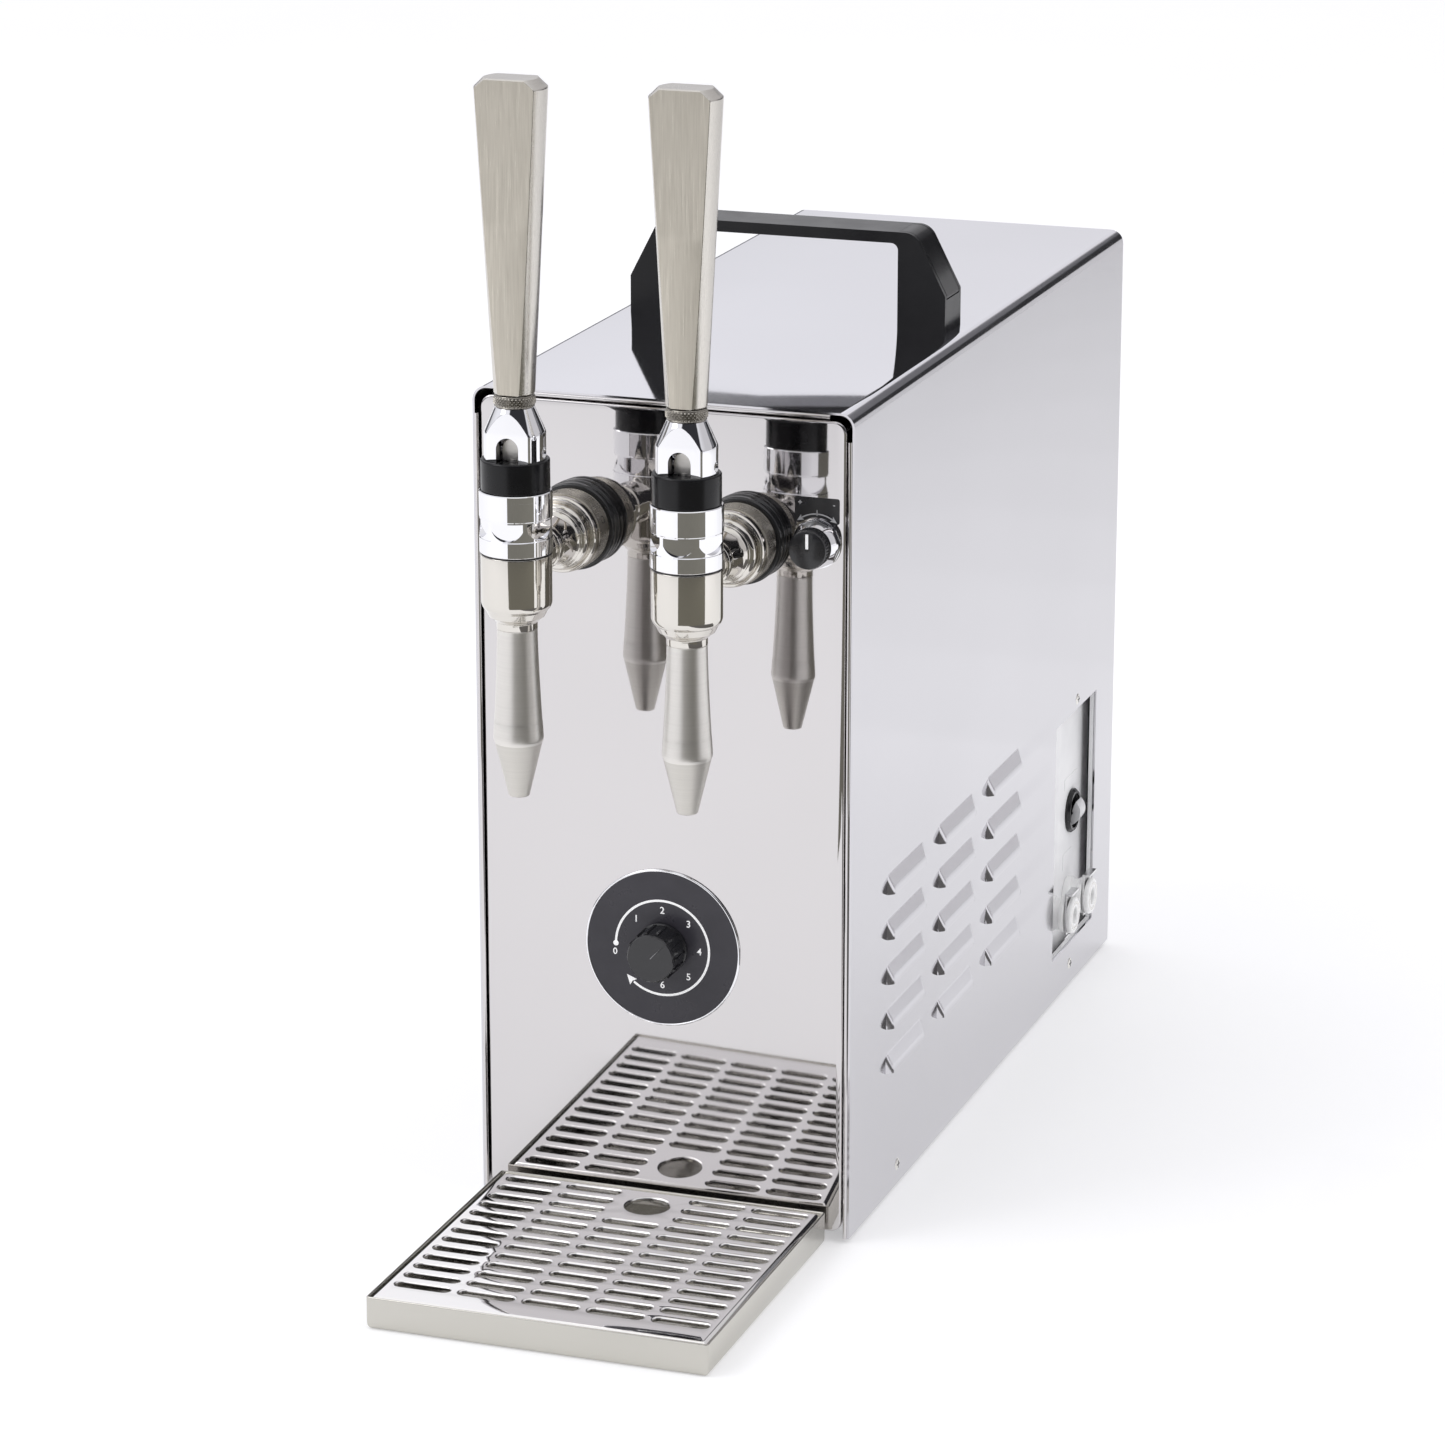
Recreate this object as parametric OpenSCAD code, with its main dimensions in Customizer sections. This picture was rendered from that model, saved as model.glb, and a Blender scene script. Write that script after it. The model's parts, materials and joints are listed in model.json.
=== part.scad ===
// Countertop two-tap beverage cooler with stout taps, a drip tray and side inlets.
// Origin: centre of the whole outline at counter level. X right, Y to the back, Z up. Millimetres.

/* [Cabinet] */
// Width of the sheet-metal shell
cab_w = 183; // [180:1:200]
// Depth of the shell from front edge to back edge
cab_d = 464; // [460:1:500]
// Height of the shell, without its feet
cab_h = 396.5; // [390:0.5:430]
// Gap between the counter and the shell's lower edge
ground_gap = 2.4; // [2:0.2:6]
// Thickness of the shell sheet
sheet_t = 1; // [0.8:0.1:1.5]
// Outer bend radius of the shell's top corners
shell_r = 6; // [4:0.5:10]
// How far the front panel sits behind the shell's front edge
panel_inset = 1; // [0.5:0.5:3]

/* [Louvers] */
// Columns of louvers on each side
louver_cols = 3; // [1:1:3]
// Rows of louvers on each side
louver_rows = 5; // [1:1:6]
// Length of one louver
louver_len = 55; // [40:1:60]
// Distance between louver columns
louver_pitch_y = 83; // [70:1:90]
// Distance between louver rows
louver_pitch_z = 22.5; // [18:0.5:25]
// How far a louver hood stands out of the side
louver_out = 4.2; // [2:0.2:6]
// Height of a louver hood
louver_h = 10.5; // [8:0.5:14]

/* [Carry handle] */
// Half the handle's length across the cabinet
grip_half = 80.5; // [70:0.5:84]
// Height of the handle over the shell
grip_h = 49.5; // [42:0.5:60]
// Depth of the handle from front to back
grip_d = 26; // [20:1:32]
// Distance of the handle's front face from the shell's front edge
grip_y = 178; // [150:1:230]

/* [Taps] */
// Distance of each tap axis from the cabinet's middle plane
tap_x = 40.4; // [36:0.2:46]
// Distance of the tap axes in front of the shell's front edge
tap_out = 77; // [72:1:90]
// Height of the nozzle tips over the counter
tip_z = 230.6; // [200:0.2:260]
// Height of the shank axes over the counter
shank_z = 339; // [310:0.5:360]
// Length of the lever handle's bar
bar_len = 140.6; // [100:0.2:160]
// Full opening angle of a tap lever
lever_deg = 45; // [30:1:45]

/* [Dials] */
// Height of the thermostat dial over the counter
dial_z = 137; // [120:1:160]
// Diameter of the thermostat dial plate
dial_d = 77; // [60:1:90]
// Distance of the gas knob from the middle plane
gas_x = 75; // [73:0.5:75]

/* [Drip tray] */
// Width of the drip tray
tray_w = 164; // [150:1:180]
// Length of the drip tray
tray_l = 165; // [150:1:180]
// Height of the drip tray
tray_h = 15.9; // [14:0.1:24]
// Rows of slots in the grate
slot_rows = 13; // [8:1:13]
// Columns of slots in the grate
slot_cols = 5; // [3:2:5]

/* [Side inlets] */
// How far the inlet couplings stand out of the shell's side
coupling_out = 8; // [5:0.5:12]
// Depth of the recessed inlet plate behind the shell's side
inset_depth = 7; // [5:0.5:10]

/* [Hidden] */
$fn = 64;
eps = 0.01;

// The whole outline is centred on the origin, so the cabinet's own corner is shifted to suit.
tray_gap = 2;
x_mid = -(coupling_out - louver_out) / 2;
y_front = -(cab_d - tray_gap - tray_l) / 2;
cab_top = ground_gap + cab_h;
half_w = cab_w / 2;
inner_x = half_w - sheet_t;
hem_t = 1;
hem_d = 9;

// Louvers
louver_y0 = 57;
louver_top = 166;

// Side window with the recessed plate
win_y0 = 350;
win_y1 = 429;
win_z0 = 25.9;
win_z1 = 155.4;
plate_x = half_w - inset_depth;
switch_y = 411;
switch_z = 92;
rocker_deg = 10;
inlet_y = [370, 405];
inlet_z = 46.7;
inlet_bore_r = 4.2;
coupling_x1 = half_w + coupling_out;
latch_x = coupling_x1 - 4.6;
latch_t = 1.2;

// Screw places on a side: distance from the front edge and height
side_screws = [[76.5, 12.5], [385, 14.1], [391, 160.6]];

// Front panel
panel_t = 1.2;
panel_y = panel_inset;
panel_half = inner_x - hem_t - 1.7;
panel_z0 = ground_gap + 3;
panel_z1 = cab_top - sheet_t - hem_t - 1.2;

// Base pan
pan_z = ground_gap + 1.4;
pan_t = 1.2;

// Heights inside a tap, from the nozzle tip up
nozzle_top = 78.5;
neck_top = 82;
body_z0 = 88;
seal_z0 = 113.2;
upper_z0 = 113.8;
collar_z0 = 139.6;
collar_z1 = 156.6;
dish_z = 155.6;
pin_z = 160;
fork_z0 = 156;
fork_z1 = 168.7;
ferrule_z0 = 180.4;
bar_z0 = 185.6;
bar_z1 = bar_z0 + bar_len;
shank_local = shank_z - tip_z;
body_r = 16;
upper_r = 16.45;
fork_r = 13.9;
fork_flat = 9.65;
slot_half = 5.3;
rod_r = 4;
pin_r = 2.5;
fit = 0.05;
stem_low = 93.1;

// Shank stack, as distances in front of the shell's front edge
gasket_out = 8;
ring_out = 20;
flange_out = 25;
union_out = 50;
boss_r = 9.5;
shank_r = 7.9;
shank_bore_r = 4;
gas_bush_r = 11.6;

// Drip tray and grate
tray_t = 1;
grate_t = 1;
grate_gap = 0.5;
slot_pitch_x = 31.1;
slot_pitch_y = 11.4;
slot_len = 27;
slot_w = 6.2;
slot_back = 8.5;
drain_r = 10.6;
drain_rows = 3;

// Points of an arc, for outlines
function arc(cx, cy, r, a0, a1, n = 8) =
    [for (i = [0:n]) let (a = a0 + (a1 - a0) * i / n) [cx + r * cos(a), cy + r * sin(a)]];

// Cabinet coordinates: x from the middle plane, y back from the front edge, z from the counter
module cab() translate([x_mid, y_front, 0]) children();

// Tap coordinates: z axis is the tap's axis and the origin is the nozzle tip
module tap(side) cab() translate([side * tap_x, -tap_out, tip_z]) children();
module taps() for (side = [-1, 1]) tap(side) children();

// Shank coordinates: z axis points forward, out of the front panel
module shank_axis(x, z) cab() translate([x, 0, z]) rotate([90, 0, 0]) children();
module shanks_axes() for (side = [-1, 1]) shank_axis(side * tap_x, shank_z) children();

// Side coordinates: x along the cabinet's depth, y up, z out of the right side
module side_axis() cab() multmatrix([[0, 0, 1, 0], [1, 0, 0, 0], [0, 1, 0, 0], [0, 0, 0, 1]]) children();

module box(x0, x1, y0, y1, z0, z1) translate([x0, y0, z0]) cube([x1 - x0, y1 - y0, z1 - z0]);

module ring(ro, ri, h) difference() {
    cylinder(r = ro, h = h);
    translate([0, 0, -1]) cylinder(r = ri, h = h + 2);
}

module round_rect(w, h, r) {
    square([w - 2 * r, h], center = true);
    square([w, h - 2 * r], center = true);
    for (sx = [-1, 1], sy = [-1, 1]) translate([sx * (w / 2 - r), sy * (h / 2 - r)]) circle(r = r, $fn = 32);
}

module obround(len, w) {
    square([len - w, w], center = true);
    for (s = [-1, 1]) translate([s * (len - w) / 2, 0]) circle(r = w / 2, $fn = 32);
}

// Straight pipe runs between points, with a ball at each elbow
module pipe(pts, r) {
    for (i = [0:len(pts) - 2]) let (v = pts[i + 1] - pts[i], l = norm(v))
        translate(pts[i]) rotate([0, acos(v[2] / l), atan2(v[1], v[0])]) cylinder(r = r, h = l, $fn = 24);
    for (i = [1:1:len(pts) - 2]) translate(pts[i]) sphere(r = r, $fn = 24);
}

// ---------- Cabinet ----------

// Upside-down U of the shell, seen from the front
module shell_section(inset, t) {
    w = half_w - inset;
    top = cab_top - inset;
    r = shell_r - inset;
    ri = max(r - t, 0.5);
    outer = concat([[-w, ground_gap]], arc(-w + r, top - r, r, 180, 90), arc(w - r, top - r, r, 90, 0),
        [[w, ground_gap]]);
    inner = concat([[w - t, ground_gap]], arc(w - t - ri, top - t - ri, ri, 0, 90),
        arc(-w + t + ri, top - t - ri, ri, 90, 180), [[-w + t, ground_gap]]);
    polygon(concat(outer, inner));
}

module louver_hood() {
    // Sloping hood with closed ends, open at its lower edge; z points out of the side
    skin = 0.9;
    translate([0, 0, -sheet_t]) difference() {
        rotate([90, 0, 90]) linear_extrude(louver_len)
            polygon([[0, 0], [0, sheet_t], [-louver_h, sheet_t + louver_out], [-louver_h, 0]]);
        translate([skin, 0, 0]) rotate([90, 0, 90]) linear_extrude(louver_len - 2 * skin)
            polygon([[-skin, -1], [-skin, sheet_t - 0.2], [-louver_h - 1, sheet_t + louver_out - 0.5],
                [-louver_h - 1, -1]]);
    }
}

module each_louver()
    for (c = [0:louver_cols - 1], r = [0:louver_rows - 1])
        translate([louver_y0 + c * louver_pitch_y, louver_top - r * louver_pitch_z, half_w]) children();

module louver_holes() each_louver()
    translate([0.9, -louver_h + eps, -sheet_t - 1]) cube([louver_len - 1.8, louver_h - 0.9, sheet_t + 1.5]);

module shell() color([0.8, 0.8, 0.82]) {
    difference() {
        union() {
            cab() translate([0, cab_d, 0]) rotate([90, 0, 0]) linear_extrude(cab_d) shell_section(0, sheet_t);
            cab() translate([0, hem_d, 0]) rotate([90, 0, 0]) linear_extrude(hem_d)
                shell_section(sheet_t, hem_t);
            side_axis() each_louver() louver_hood();
            mirrored_side() side_axis() each_louver() louver_hood();
        }
        side_axis() louver_holes();
        mirrored_side() side_axis() louver_holes();
        side_axis() translate([win_y0, win_z0, inner_x - 1]) cube([win_y1 - win_y0, win_z1 - win_z0, 4]);
        for (s = side_screws) {
            side_axis() translate([s[0], s[1], inner_x - 3]) cylinder(r = 2.1, h = 9);
            mirrored_side() side_axis() translate([s[0], s[1], inner_x - 3]) cylinder(r = 2.1, h = 9);
        }
        handle_bolt_places() translate([0, 0, -6]) cylinder(r = 2.6, h = 12);
    }
}

module mirrored_side() translate([2 * x_mid, 0, 0]) mirror([1, 0, 0]) children();

module handle_bolt_places()
    for (sx = [-1, 1], sy = [-1, 1])
        cab() translate([sx * (grip_half - 12), grip_y + grip_d / 2 + sy * 6.5, cab_top]) children();

module front_panel() color([0.85, 0.85, 0.87]) difference() {
    cab() union() {
        translate([0, panel_y + panel_t, 0]) rotate([90, 0, 0]) linear_extrude(panel_t)
            translate([0, (panel_z0 + panel_z1) / 2]) round_rect(2 * panel_half, panel_z1 - panel_z0, 4);
        for (s = [-1, 1]) translate([s * (panel_half - panel_t / 2), 0, 0])
            box(-panel_t / 2, panel_t / 2, panel_y + eps, panel_y + 12, panel_z0 + 6, panel_z1 - 6);
    }
    shanks_axes() translate([0, 0, -20]) cylinder(r = shank_r + fit, h = 40);
    shank_axis(0, dial_z) translate([0, 0, -20]) cylinder(r = 5, h = 40);
    shank_axis(gas_x, shank_z) translate([0, 0, -20]) cylinder(r = 5.5, h = 40);
}

module back_panel() color([0.75, 0.75, 0.77]) difference() {
    cab() union() {
        box(-inner_x + 0.3, inner_x - 0.3, cab_d - 3.2, cab_d - 2, ground_gap + 1.4, cab_top - sheet_t - 0.3 - 5);
        for (s = [-1, 1]) translate([s * (inner_x - 0.9), 0, 0])
            box(-0.6, 0.6, cab_d - 14, cab_d - 3.1, 20, cab_top - 20);
    }
    // Warm-air slots, in two blocks
    for (row = [0:1], i = [-8:8])
        cab() translate([i * 8.5, cab_d, 250 + row * 62]) rotate([90, 0, 0]) linear_extrude(12)
            rotate([0, 0, 90]) obround(50, 3.4);
    cab() box(-60, -32, cab_d - 12, cab_d, 26, 46);
    for (s = back_screws) cab() translate([s[0], cab_d, s[1]]) rotate([90, 0, 0]) cylinder(r = 2.1, h = 12);
}

back_screws = [[-80, 60], [80, 60], [-80, 225], [80, 225], [-80, 385], [80, 385]];

module base_pan() color([0.6, 0.6, 0.62]) difference() {
    cab() union() {
        box(-inner_x + 0.3, inner_x - 0.3, 16, cab_d - 16, pan_z, pan_z + pan_t);
        for (s = [-1, 1]) translate([s * (inner_x - 0.9), 0, 0])
            box(-0.6, 0.6, 16, cab_d - 16, pan_z, pan_z + 16);
        box(-inner_x + 0.3, inner_x - 0.3, 16, 17.2, pan_z, pan_z + 16);
    }
    for (s = [0:1]) {
        side_axis() translate([side_screws[s][0], side_screws[s][1], inner_x - 5]) cylinder(r = 1.9, h = 9);
        mirrored_side() side_axis() translate([side_screws[s][0], side_screws[s][1], inner_x - 5])
            cylinder(r = 1.9, h = 9);
    }
    foot_places() translate([0, 0, -1]) cylinder(r = 2.6, h = 12);
    for (i = [-5:5], j = [0:1]) cab() translate([i * 13, 150 + 70 * j, pan_z - 1]) linear_extrude(4)
        rotate([0, 0, 90]) obround(50, 5);
}

module foot_places() for (sx = [-1, 1], y = [30, cab_d - 34]) cab() translate([sx * 72, y, 0]) children();

module feet() color([0.1, 0.1, 0.1]) foot_places() rotate_extrude()
    polygon([[0, 0], [9, 0], [10, 0.8], [10, pan_z], [2.5, pan_z], [2.5, pan_z + pan_t], [4.4, pan_z + pan_t],
        [3, pan_z + 4], [0, pan_z + 4]]);

// Pan-head screw with a cross recess; z points out of the head
module pan_screw(grip) difference() {
    rotate_extrude() polygon([[0, -grip], [1.8, -grip], [1.8, 0], [3.4, 0], [3.2, 0.9], [2.2, 1.5], [0, 1.7]]);
    for (a = [0, 90]) rotate([0, 0, a]) translate([-1.7, -0.3, 0.7]) cube([3.4, 0.6, 2]);
}

module panel_screws() color([0.75, 0.75, 0.75]) {
    for (s = side_screws) {
        side_axis() translate([s[0], s[1], half_w]) pan_screw(7);
        mirrored_side() side_axis() translate([s[0], s[1], half_w]) pan_screw(7);
    }
    for (s = back_screws) cab() translate([s[0], cab_d - 2, s[1]]) rotate([-90, 0, 0]) pan_screw(7);
}

// ---------- Carry handle ----------

grip_top = cab_top + grip_h;
grip_leg = 24;
grip_bar_t = 5.5;
slope_z = cab_top + 19.5;
slope_x = grip_half - 17;

// Right half of the handle's outer edge, seen from the front, shrunk by d
function grip_edge(d) = concat([[0, grip_top - d]], arc(slope_x - 4, grip_top - 9, 9 - d, 90, 28, 10),
    [[grip_half - d, slope_z - d * 0.5], [grip_half - d, cab_top]]);

function mirrored(pts) = [for (i = [len(pts) - 1:-1:0]) [-pts[i][0], pts[i][1]]];

module grip_outline(d) polygon(concat(mirrored(grip_edge(d)), grip_edge(d)));

module grip_extrude(y0, y1) cab() translate([0, y1, 0]) rotate([90, 0, 0]) linear_extrude(y1 - y0) children();

// Band at each end that the snap-on covers fill
module cap_band(gap) difference() {
    intersection() {
        grip_outline(0);
        for (s = [-1, 1]) translate([s * (grip_half + slope_x - 7) / 2, cab_top + 60])
            square([grip_half - slope_x + 7 - gap, 2 * (60 - 17.5 - gap)], center = true);
    }
    grip_outline(2.2 - gap);
}

module carry_handle() color([0.12, 0.12, 0.13]) difference() {
    grip_extrude(grip_y, grip_y + grip_d) difference() {
        grip_outline(0);
        translate([0, cab_top - 1 + (grip_h - grip_bar_t) / 2])
            round_rect(2 * (grip_half - grip_leg), grip_h - grip_bar_t + 2, 3.5);
    }
    grip_extrude(grip_y + 2.6, grip_y + grip_d - 2.6) cap_band(0);
    handle_bolt_places() translate([0, 0, -1]) cylinder(r = 2.5, h = 13);
}

module handle_caps() color([0.16, 0.16, 0.17])
    grip_extrude(grip_y + 2.75, grip_y + grip_d - 2.75) cap_band(0.15);

module handle_bolts() color([0.7, 0.7, 0.7]) handle_bolt_places() {
    translate([0, 0, -sheet_t - 10]) cylinder(r = 2.45, h = sheet_t + 20);
    translate([0, 0, -sheet_t - 3.5]) cylinder(r = 4.6, h = 3.5, $fn = 6);
}

// ---------- Dials on the front ----------

module dial_plate() color([0.22, 0.22, 0.24]) shank_axis(0, dial_z) translate([0, 0, -panel_y])
    rotate_extrude($fn = 128) polygon([[4.6, 0], [dial_d / 2, 0], [dial_d / 2, 0.7], [dial_d / 2 - 0.4, 1.1],
        [dial_d / 2 - 1, 1.1], [dial_d / 2 - 1.1, 0.9], [4.6, 0.9]]);

module thermostat() color([0.5, 0.5, 0.5]) shank_axis(0, dial_z) union() {
    translate([-19, -14, -panel_y - panel_t - 26]) cube([38, 28, 25.9]);
    translate([0, 0, -panel_y - panel_t - 1]) cylinder(r = 4.5, h = panel_t + 2);
    translate([0, 0, -5]) cylinder(r = 3, h = 14);
}

module thermostat_knob() color([0.08, 0.08, 0.08]) shank_axis(0, dial_z) difference() {
    union() {
        translate([0, 0, 0.4]) rotate_extrude() polygon([[3 + fit, 0], [12.6, 0], [12.6, 1.6], [12, 1.9],
            [11.5, 16], [11, 16.6], [3 + fit, 16.6]]);
        translate([0, 0, 9.6]) cylinder(r = 11, h = 7.4);
        for (i = [0:13]) rotate([0, 0, i * 360 / 14]) translate([11.2, -0.6, 0.4]) cube([1.2, 1.2, 14.5]);
    }
    cylinder(r = 3 + fit, h = 9.7);
    // Pointer groove across the face and down the side
    rotate([0, 0, 45]) translate([0, -0.25, 16.5]) cube([20, 0.5, 2]);
    rotate([0, 0, 45]) translate([11.6, -0.25, 2]) cube([4, 0.5, 20]);
}

module gas_label() color([0.08, 0.08, 0.09]) shank_axis(gas_x, shank_z) translate([0, 0, -panel_y])
    linear_extrude(0.4) difference() {
        translate([0, 15.2]) round_rect(21.2, 12, 1.2);
        circle(r = gas_bush_r + 0.3);
    }

module gas_valve() color([0.7, 0.6, 0.35]) shank_axis(gas_x, shank_z) union() {
    translate([0, 0, -34]) cylinder(r = 9, h = 34 - panel_y - panel_t);
    translate([0, 0, -panel_y - panel_t - 1]) cylinder(r = 5.45, h = 8.2);
    translate([0, 0, 5]) cylinder(r = 2.5, h = 7.5);
    translate([0, 0, -24]) rotate([90, 0, 0]) cylinder(r = 4, h = 20);
}

module gas_bush() color([0.8, 0.8, 0.8]) shank_axis(gas_x, shank_z) translate([0, 0, -panel_y]) difference() {
    union() {
        intersection() {
            cylinder(r = gas_bush_r, h = 8, $fn = 8);
            rotate_extrude() polygon([[0, 0], [gas_bush_r, 0], [gas_bush_r, 2], [9.2, 7.6], [0, 7.6]]);
        }
        cylinder(r = gas_bush_r, h = 1.2);
    }
    translate([0, 0, -1]) cylinder(r = 5.5, h = 12);
}

module gas_knob() color([0.08, 0.08, 0.08]) shank_axis(gas_x, shank_z) difference() {
    rotate_extrude() polygon([[0, 7.4], [9.2, 7.4], [9.2, 12.6], [8.7, 13.8], [8.2, 14], [0, 14]]);
    translate([0, 0, 7]) cylinder(r = 2.5 + fit, h = 5.6);
    for (i = [0:39]) rotate([0, 0, i * 9]) translate([9.35, 0, 7]) cylinder(r = 0.45, h = 6, $fn = 16);
    translate([-0.7, 0.6, 13.7]) cube([1.4, 7, 1]);
}

// ---------- Side window ----------

inset_len = 101;

module inset_plate() color([0.82, 0.82, 0.84]) difference() {
    side_axis() union() {
        translate([win_y0 - 8, win_z0 - 5, plate_x - 1.2])
            cube([inset_len, win_z1 - win_z0 + 13.6, 1.2]);
        // Front and top returns that screw to the side
        translate([win_y0 - 8, win_z0 - 5, plate_x - 1.2]) cube([1.2, win_z1 - win_z0 + 13.6, inset_depth + 0.1]);
        translate([win_y0 - 8, win_z1 + 7.4, plate_x - 1.2]) cube([win_y1 - win_y0 + 4, 1.2, inset_depth + 0.1]);
    }
    for (y = inlet_y) side_axis() translate([y, inlet_z, plate_x - 5]) cylinder(r = 8 + fit, h = 10);
    side_axis() translate([switch_y, switch_z, plate_x - 5]) cylinder(r = 10 + fit, h = 10);
}

module blank_labels() color([0.93, 0.93, 0.93]) side_axis() translate([0, 0, plate_x]) {
    translate([386, 131]) linear_extrude(0.25) round_rect(70, 34, 2);
    translate([409, 109.5]) linear_extrude(0.25) round_rect(24, 6.5, 1);
    for (y = inlet_y) translate([y, 66]) linear_extrude(0.25) round_rect(17, 9, 1.2);
}

module switch_body() color([0.07, 0.07, 0.07]) {
    side_axis() translate([switch_y, switch_z, plate_x]) difference() {
        union() {
            rotate_extrude() polygon([[0, 0], [12, 0], [12, 1.2], [10.8, 2.6], [9.4, 2.6], [9.4, 1], [0, 1]]);
            translate([0, 0, -20]) cylinder(r = 10, h = 20.5);
        }
        translate([-5.4, -8.6, -6]) cube([10.8, 17.2, 10]);
    }
    // Pin that the rocker turns on
    side_axis() translate([switch_y - 5.8, switch_z, plate_x + 1.5]) rotate([0, 90, 0]) cylinder(r = 1, h = 11.6);
}

module rocker_axis() side_axis() translate([switch_y, switch_z, plate_x + 1.5]) children();

// Rocker: turns about the cabinet's depth axis and rests with its upper half out
module switch_rocker() color([0.85, 0.85, 0.86]) rocker_axis() rotate([rocker_deg, 0, 0])
    rotate([90, 0, 90]) translate([0, 0, -5.2]) difference() {
        intersection() {
            translate([0, 22.4]) cylinder(r = 22, h = 10.4, $fn = 128);
            translate([0, -2.6]) cylinder(r = 7.8, h = 10.4);
        }
        translate([0, 0, -1]) cylinder(r = 1 + fit, h = 13);
    }

// Panel-mount coupling: flange, neck and a flattened head with a slot for the latch plate
module coupling_shape() {
    head_x = coupling_x1 - plate_x;
    difference() {
        union() {
            cylinder(r = 11.4, h = 3.6, $fn = 8);
            cylinder(r = 9.3, h = head_x - 1);
            translate([0, 0, head_x - 8]) intersection() {
                cylinder(r = 12, h = 8);
                translate([-9.6, -14, 0]) cube([19.2, 28, 10]);
            }
            translate([0, 0, -26]) cylinder(r = 8, h = 27);
            translate([0, 0, -40]) cylinder(r = 4.8, h = 15);
        }
        translate([0, 0, -22]) cylinder(r = inlet_bore_r, h = 60);
        translate([0, 0, -45]) cylinder(r = 2.6, h = 60);
        translate([-6.9, -15, latch_x - plate_x]) cube([13.8, 34, latch_t + 0.5]);
        translate([-6.9, 9.9, latch_x - plate_x]) cube([13.8, 9, 9]);
    }
}

module coupling_bodies() color([0.94, 0.94, 0.93])
    for (y = inlet_y) side_axis() translate([y, inlet_z, plate_x]) coupling_shape();

module coupling_nuts() color([0.94, 0.94, 0.93])
    for (y = inlet_y) side_axis() translate([y, inlet_z, plate_x - 1.2 - 6]) difference() {
        cylinder(r = 12.5, h = 6, $fn = 6);
        translate([0, 0, -1]) cylinder(r = 8 + fit, h = 8);
    }

// Latch plate with a keyhole and a thumb tab; it slides down when pressed
module latch_shape(y) side_axis() translate([y, inlet_z, latch_x + 0.25]) {
    difference() {
        translate([-6.6, -9.5, 0]) cube([13.2, 23, latch_t]);
        translate([0, 0, -1]) cylinder(r = inlet_bore_r + 0.6, h = 4);
        translate([-inlet_bore_r - 0.6, 0, -1]) cube([2 * inlet_bore_r + 1.2, 2.2, 4]);
        translate([0, 2.2, -1]) cylinder(r = inlet_bore_r + 0.6, h = 4);
    }
    translate([-6.6, 12.3, 0]) cube([13.2, 1.2, 4.2]);
}

module coupling_latch_front() color([0.75, 0.75, 0.76]) latch_shape(inlet_y[0]);
module coupling_latch_rear() color([0.75, 0.75, 0.76]) latch_shape(inlet_y[1]);

module mains_inlet() color([0.06, 0.06, 0.06]) cab() difference() {
    union() {
        box(-59.7, -32.3, cab_d - 26, cab_d - 3, 26.3, 45.7);
        box(-63, -29, cab_d - 2, cab_d, 23, 49);
        box(-59.7, -32.3, cab_d - 4, cab_d - 1, 26.3, 45.7);
    }
    box(-57.5, -34.5, cab_d - 22, cab_d + 1, 28.3, 43.7);
}

// ---------- Cooling machinery ----------

comp_x = -30;
comp_y = 352;
drier_y = 288;
comp_top = 126;

module compressor() color([0.12, 0.12, 0.13]) cab() translate([comp_x, comp_y, 0]) {
    rotate_extrude() polygon(concat([[0, 20]], arc(32, 38, 18, -90, 0), arc(32, comp_top - 18, 18, 0, 90),
        [[0, comp_top]]));
    for (a = [45:90:315]) rotate([0, 0, a]) translate([30, -9, 14]) difference() {
        cube([32, 18, 3]);
        translate([24, 9, -1]) cylinder(r = 5, h = 6);
    }
    translate([48, -12, 60]) cube([16, 24, 30]);
}

module compressor_grommets() color([0.1, 0.1, 0.1]) cab() translate([comp_x, comp_y, 0])
    for (a = [45:90:315]) rotate([0, 0, a]) translate([54, 0, pan_z + pan_t]) {
        cylinder(r = 7.5, h = 14 - pan_z - pan_t);
        cylinder(r = 4.9, h = 20 - pan_z - pan_t);
    }

cond_y = 226;

module condenser() color([0.7, 0.72, 0.72]) cab() union() {
    for (i = [-11:11]) translate([i * 6, 0, 0]) box(-0.5, 0.5, cond_y, cond_y + 40, 14, 150);
    for (j = [0:4], k = [0:1]) translate([-72, cond_y + 10 + 20 * k, 30 + j * 26]) rotate([0, 90, 0])
        cylinder(r = 4, h = 144);
    for (s = [-1, 1]) translate([s * 71, 0, 0]) box(-1, 1, cond_y - 1, cond_y + 41, pan_z + pan_t, 154);
}

fan_y = 205;
fan_z = 82;

module fan_shroud() color([0.15, 0.15, 0.16]) cab() difference() {
    box(-70, 70, fan_y - 14, fan_y + 18, pan_z + pan_t, 154);
    translate([0, fan_y + 30, fan_z]) rotate([90, 0, 0]) cylinder(r = 62, h = 60);
    box(-66, 66, fan_y - 11, fan_y + 20, 10, 150);
}

module fan_motor() color([0.3, 0.3, 0.32]) cab() translate([0, fan_y - 16, fan_z]) {
    rotate([90, 0, 0]) cylinder(r = 22, h = 34);
    rotate([-90, 0, 0]) cylinder(r = 3, h = 22);
    for (a = [45:90:315]) rotate([0, a, 0]) translate([-3, -4, 20]) cube([6, 6, 58]);
}

module fan_rotor() color([0.75, 0.75, 0.76]) cab() translate([0, fan_y, fan_z]) rotate([-90, 0, 0])
    difference() {
        union() {
            translate([0, 0, -7]) cylinder(r = 17, h = 14);
            for (i = [0:4]) rotate([0, 0, i * 72]) translate([0, -1, 0]) rotate([28, 0, 0])
                translate([8, 0, -7]) cube([49, 1.6, 14]);
        }
        translate([0, 0, -9]) cylinder(r = 3 + fit, h = 18);
    }

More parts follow.
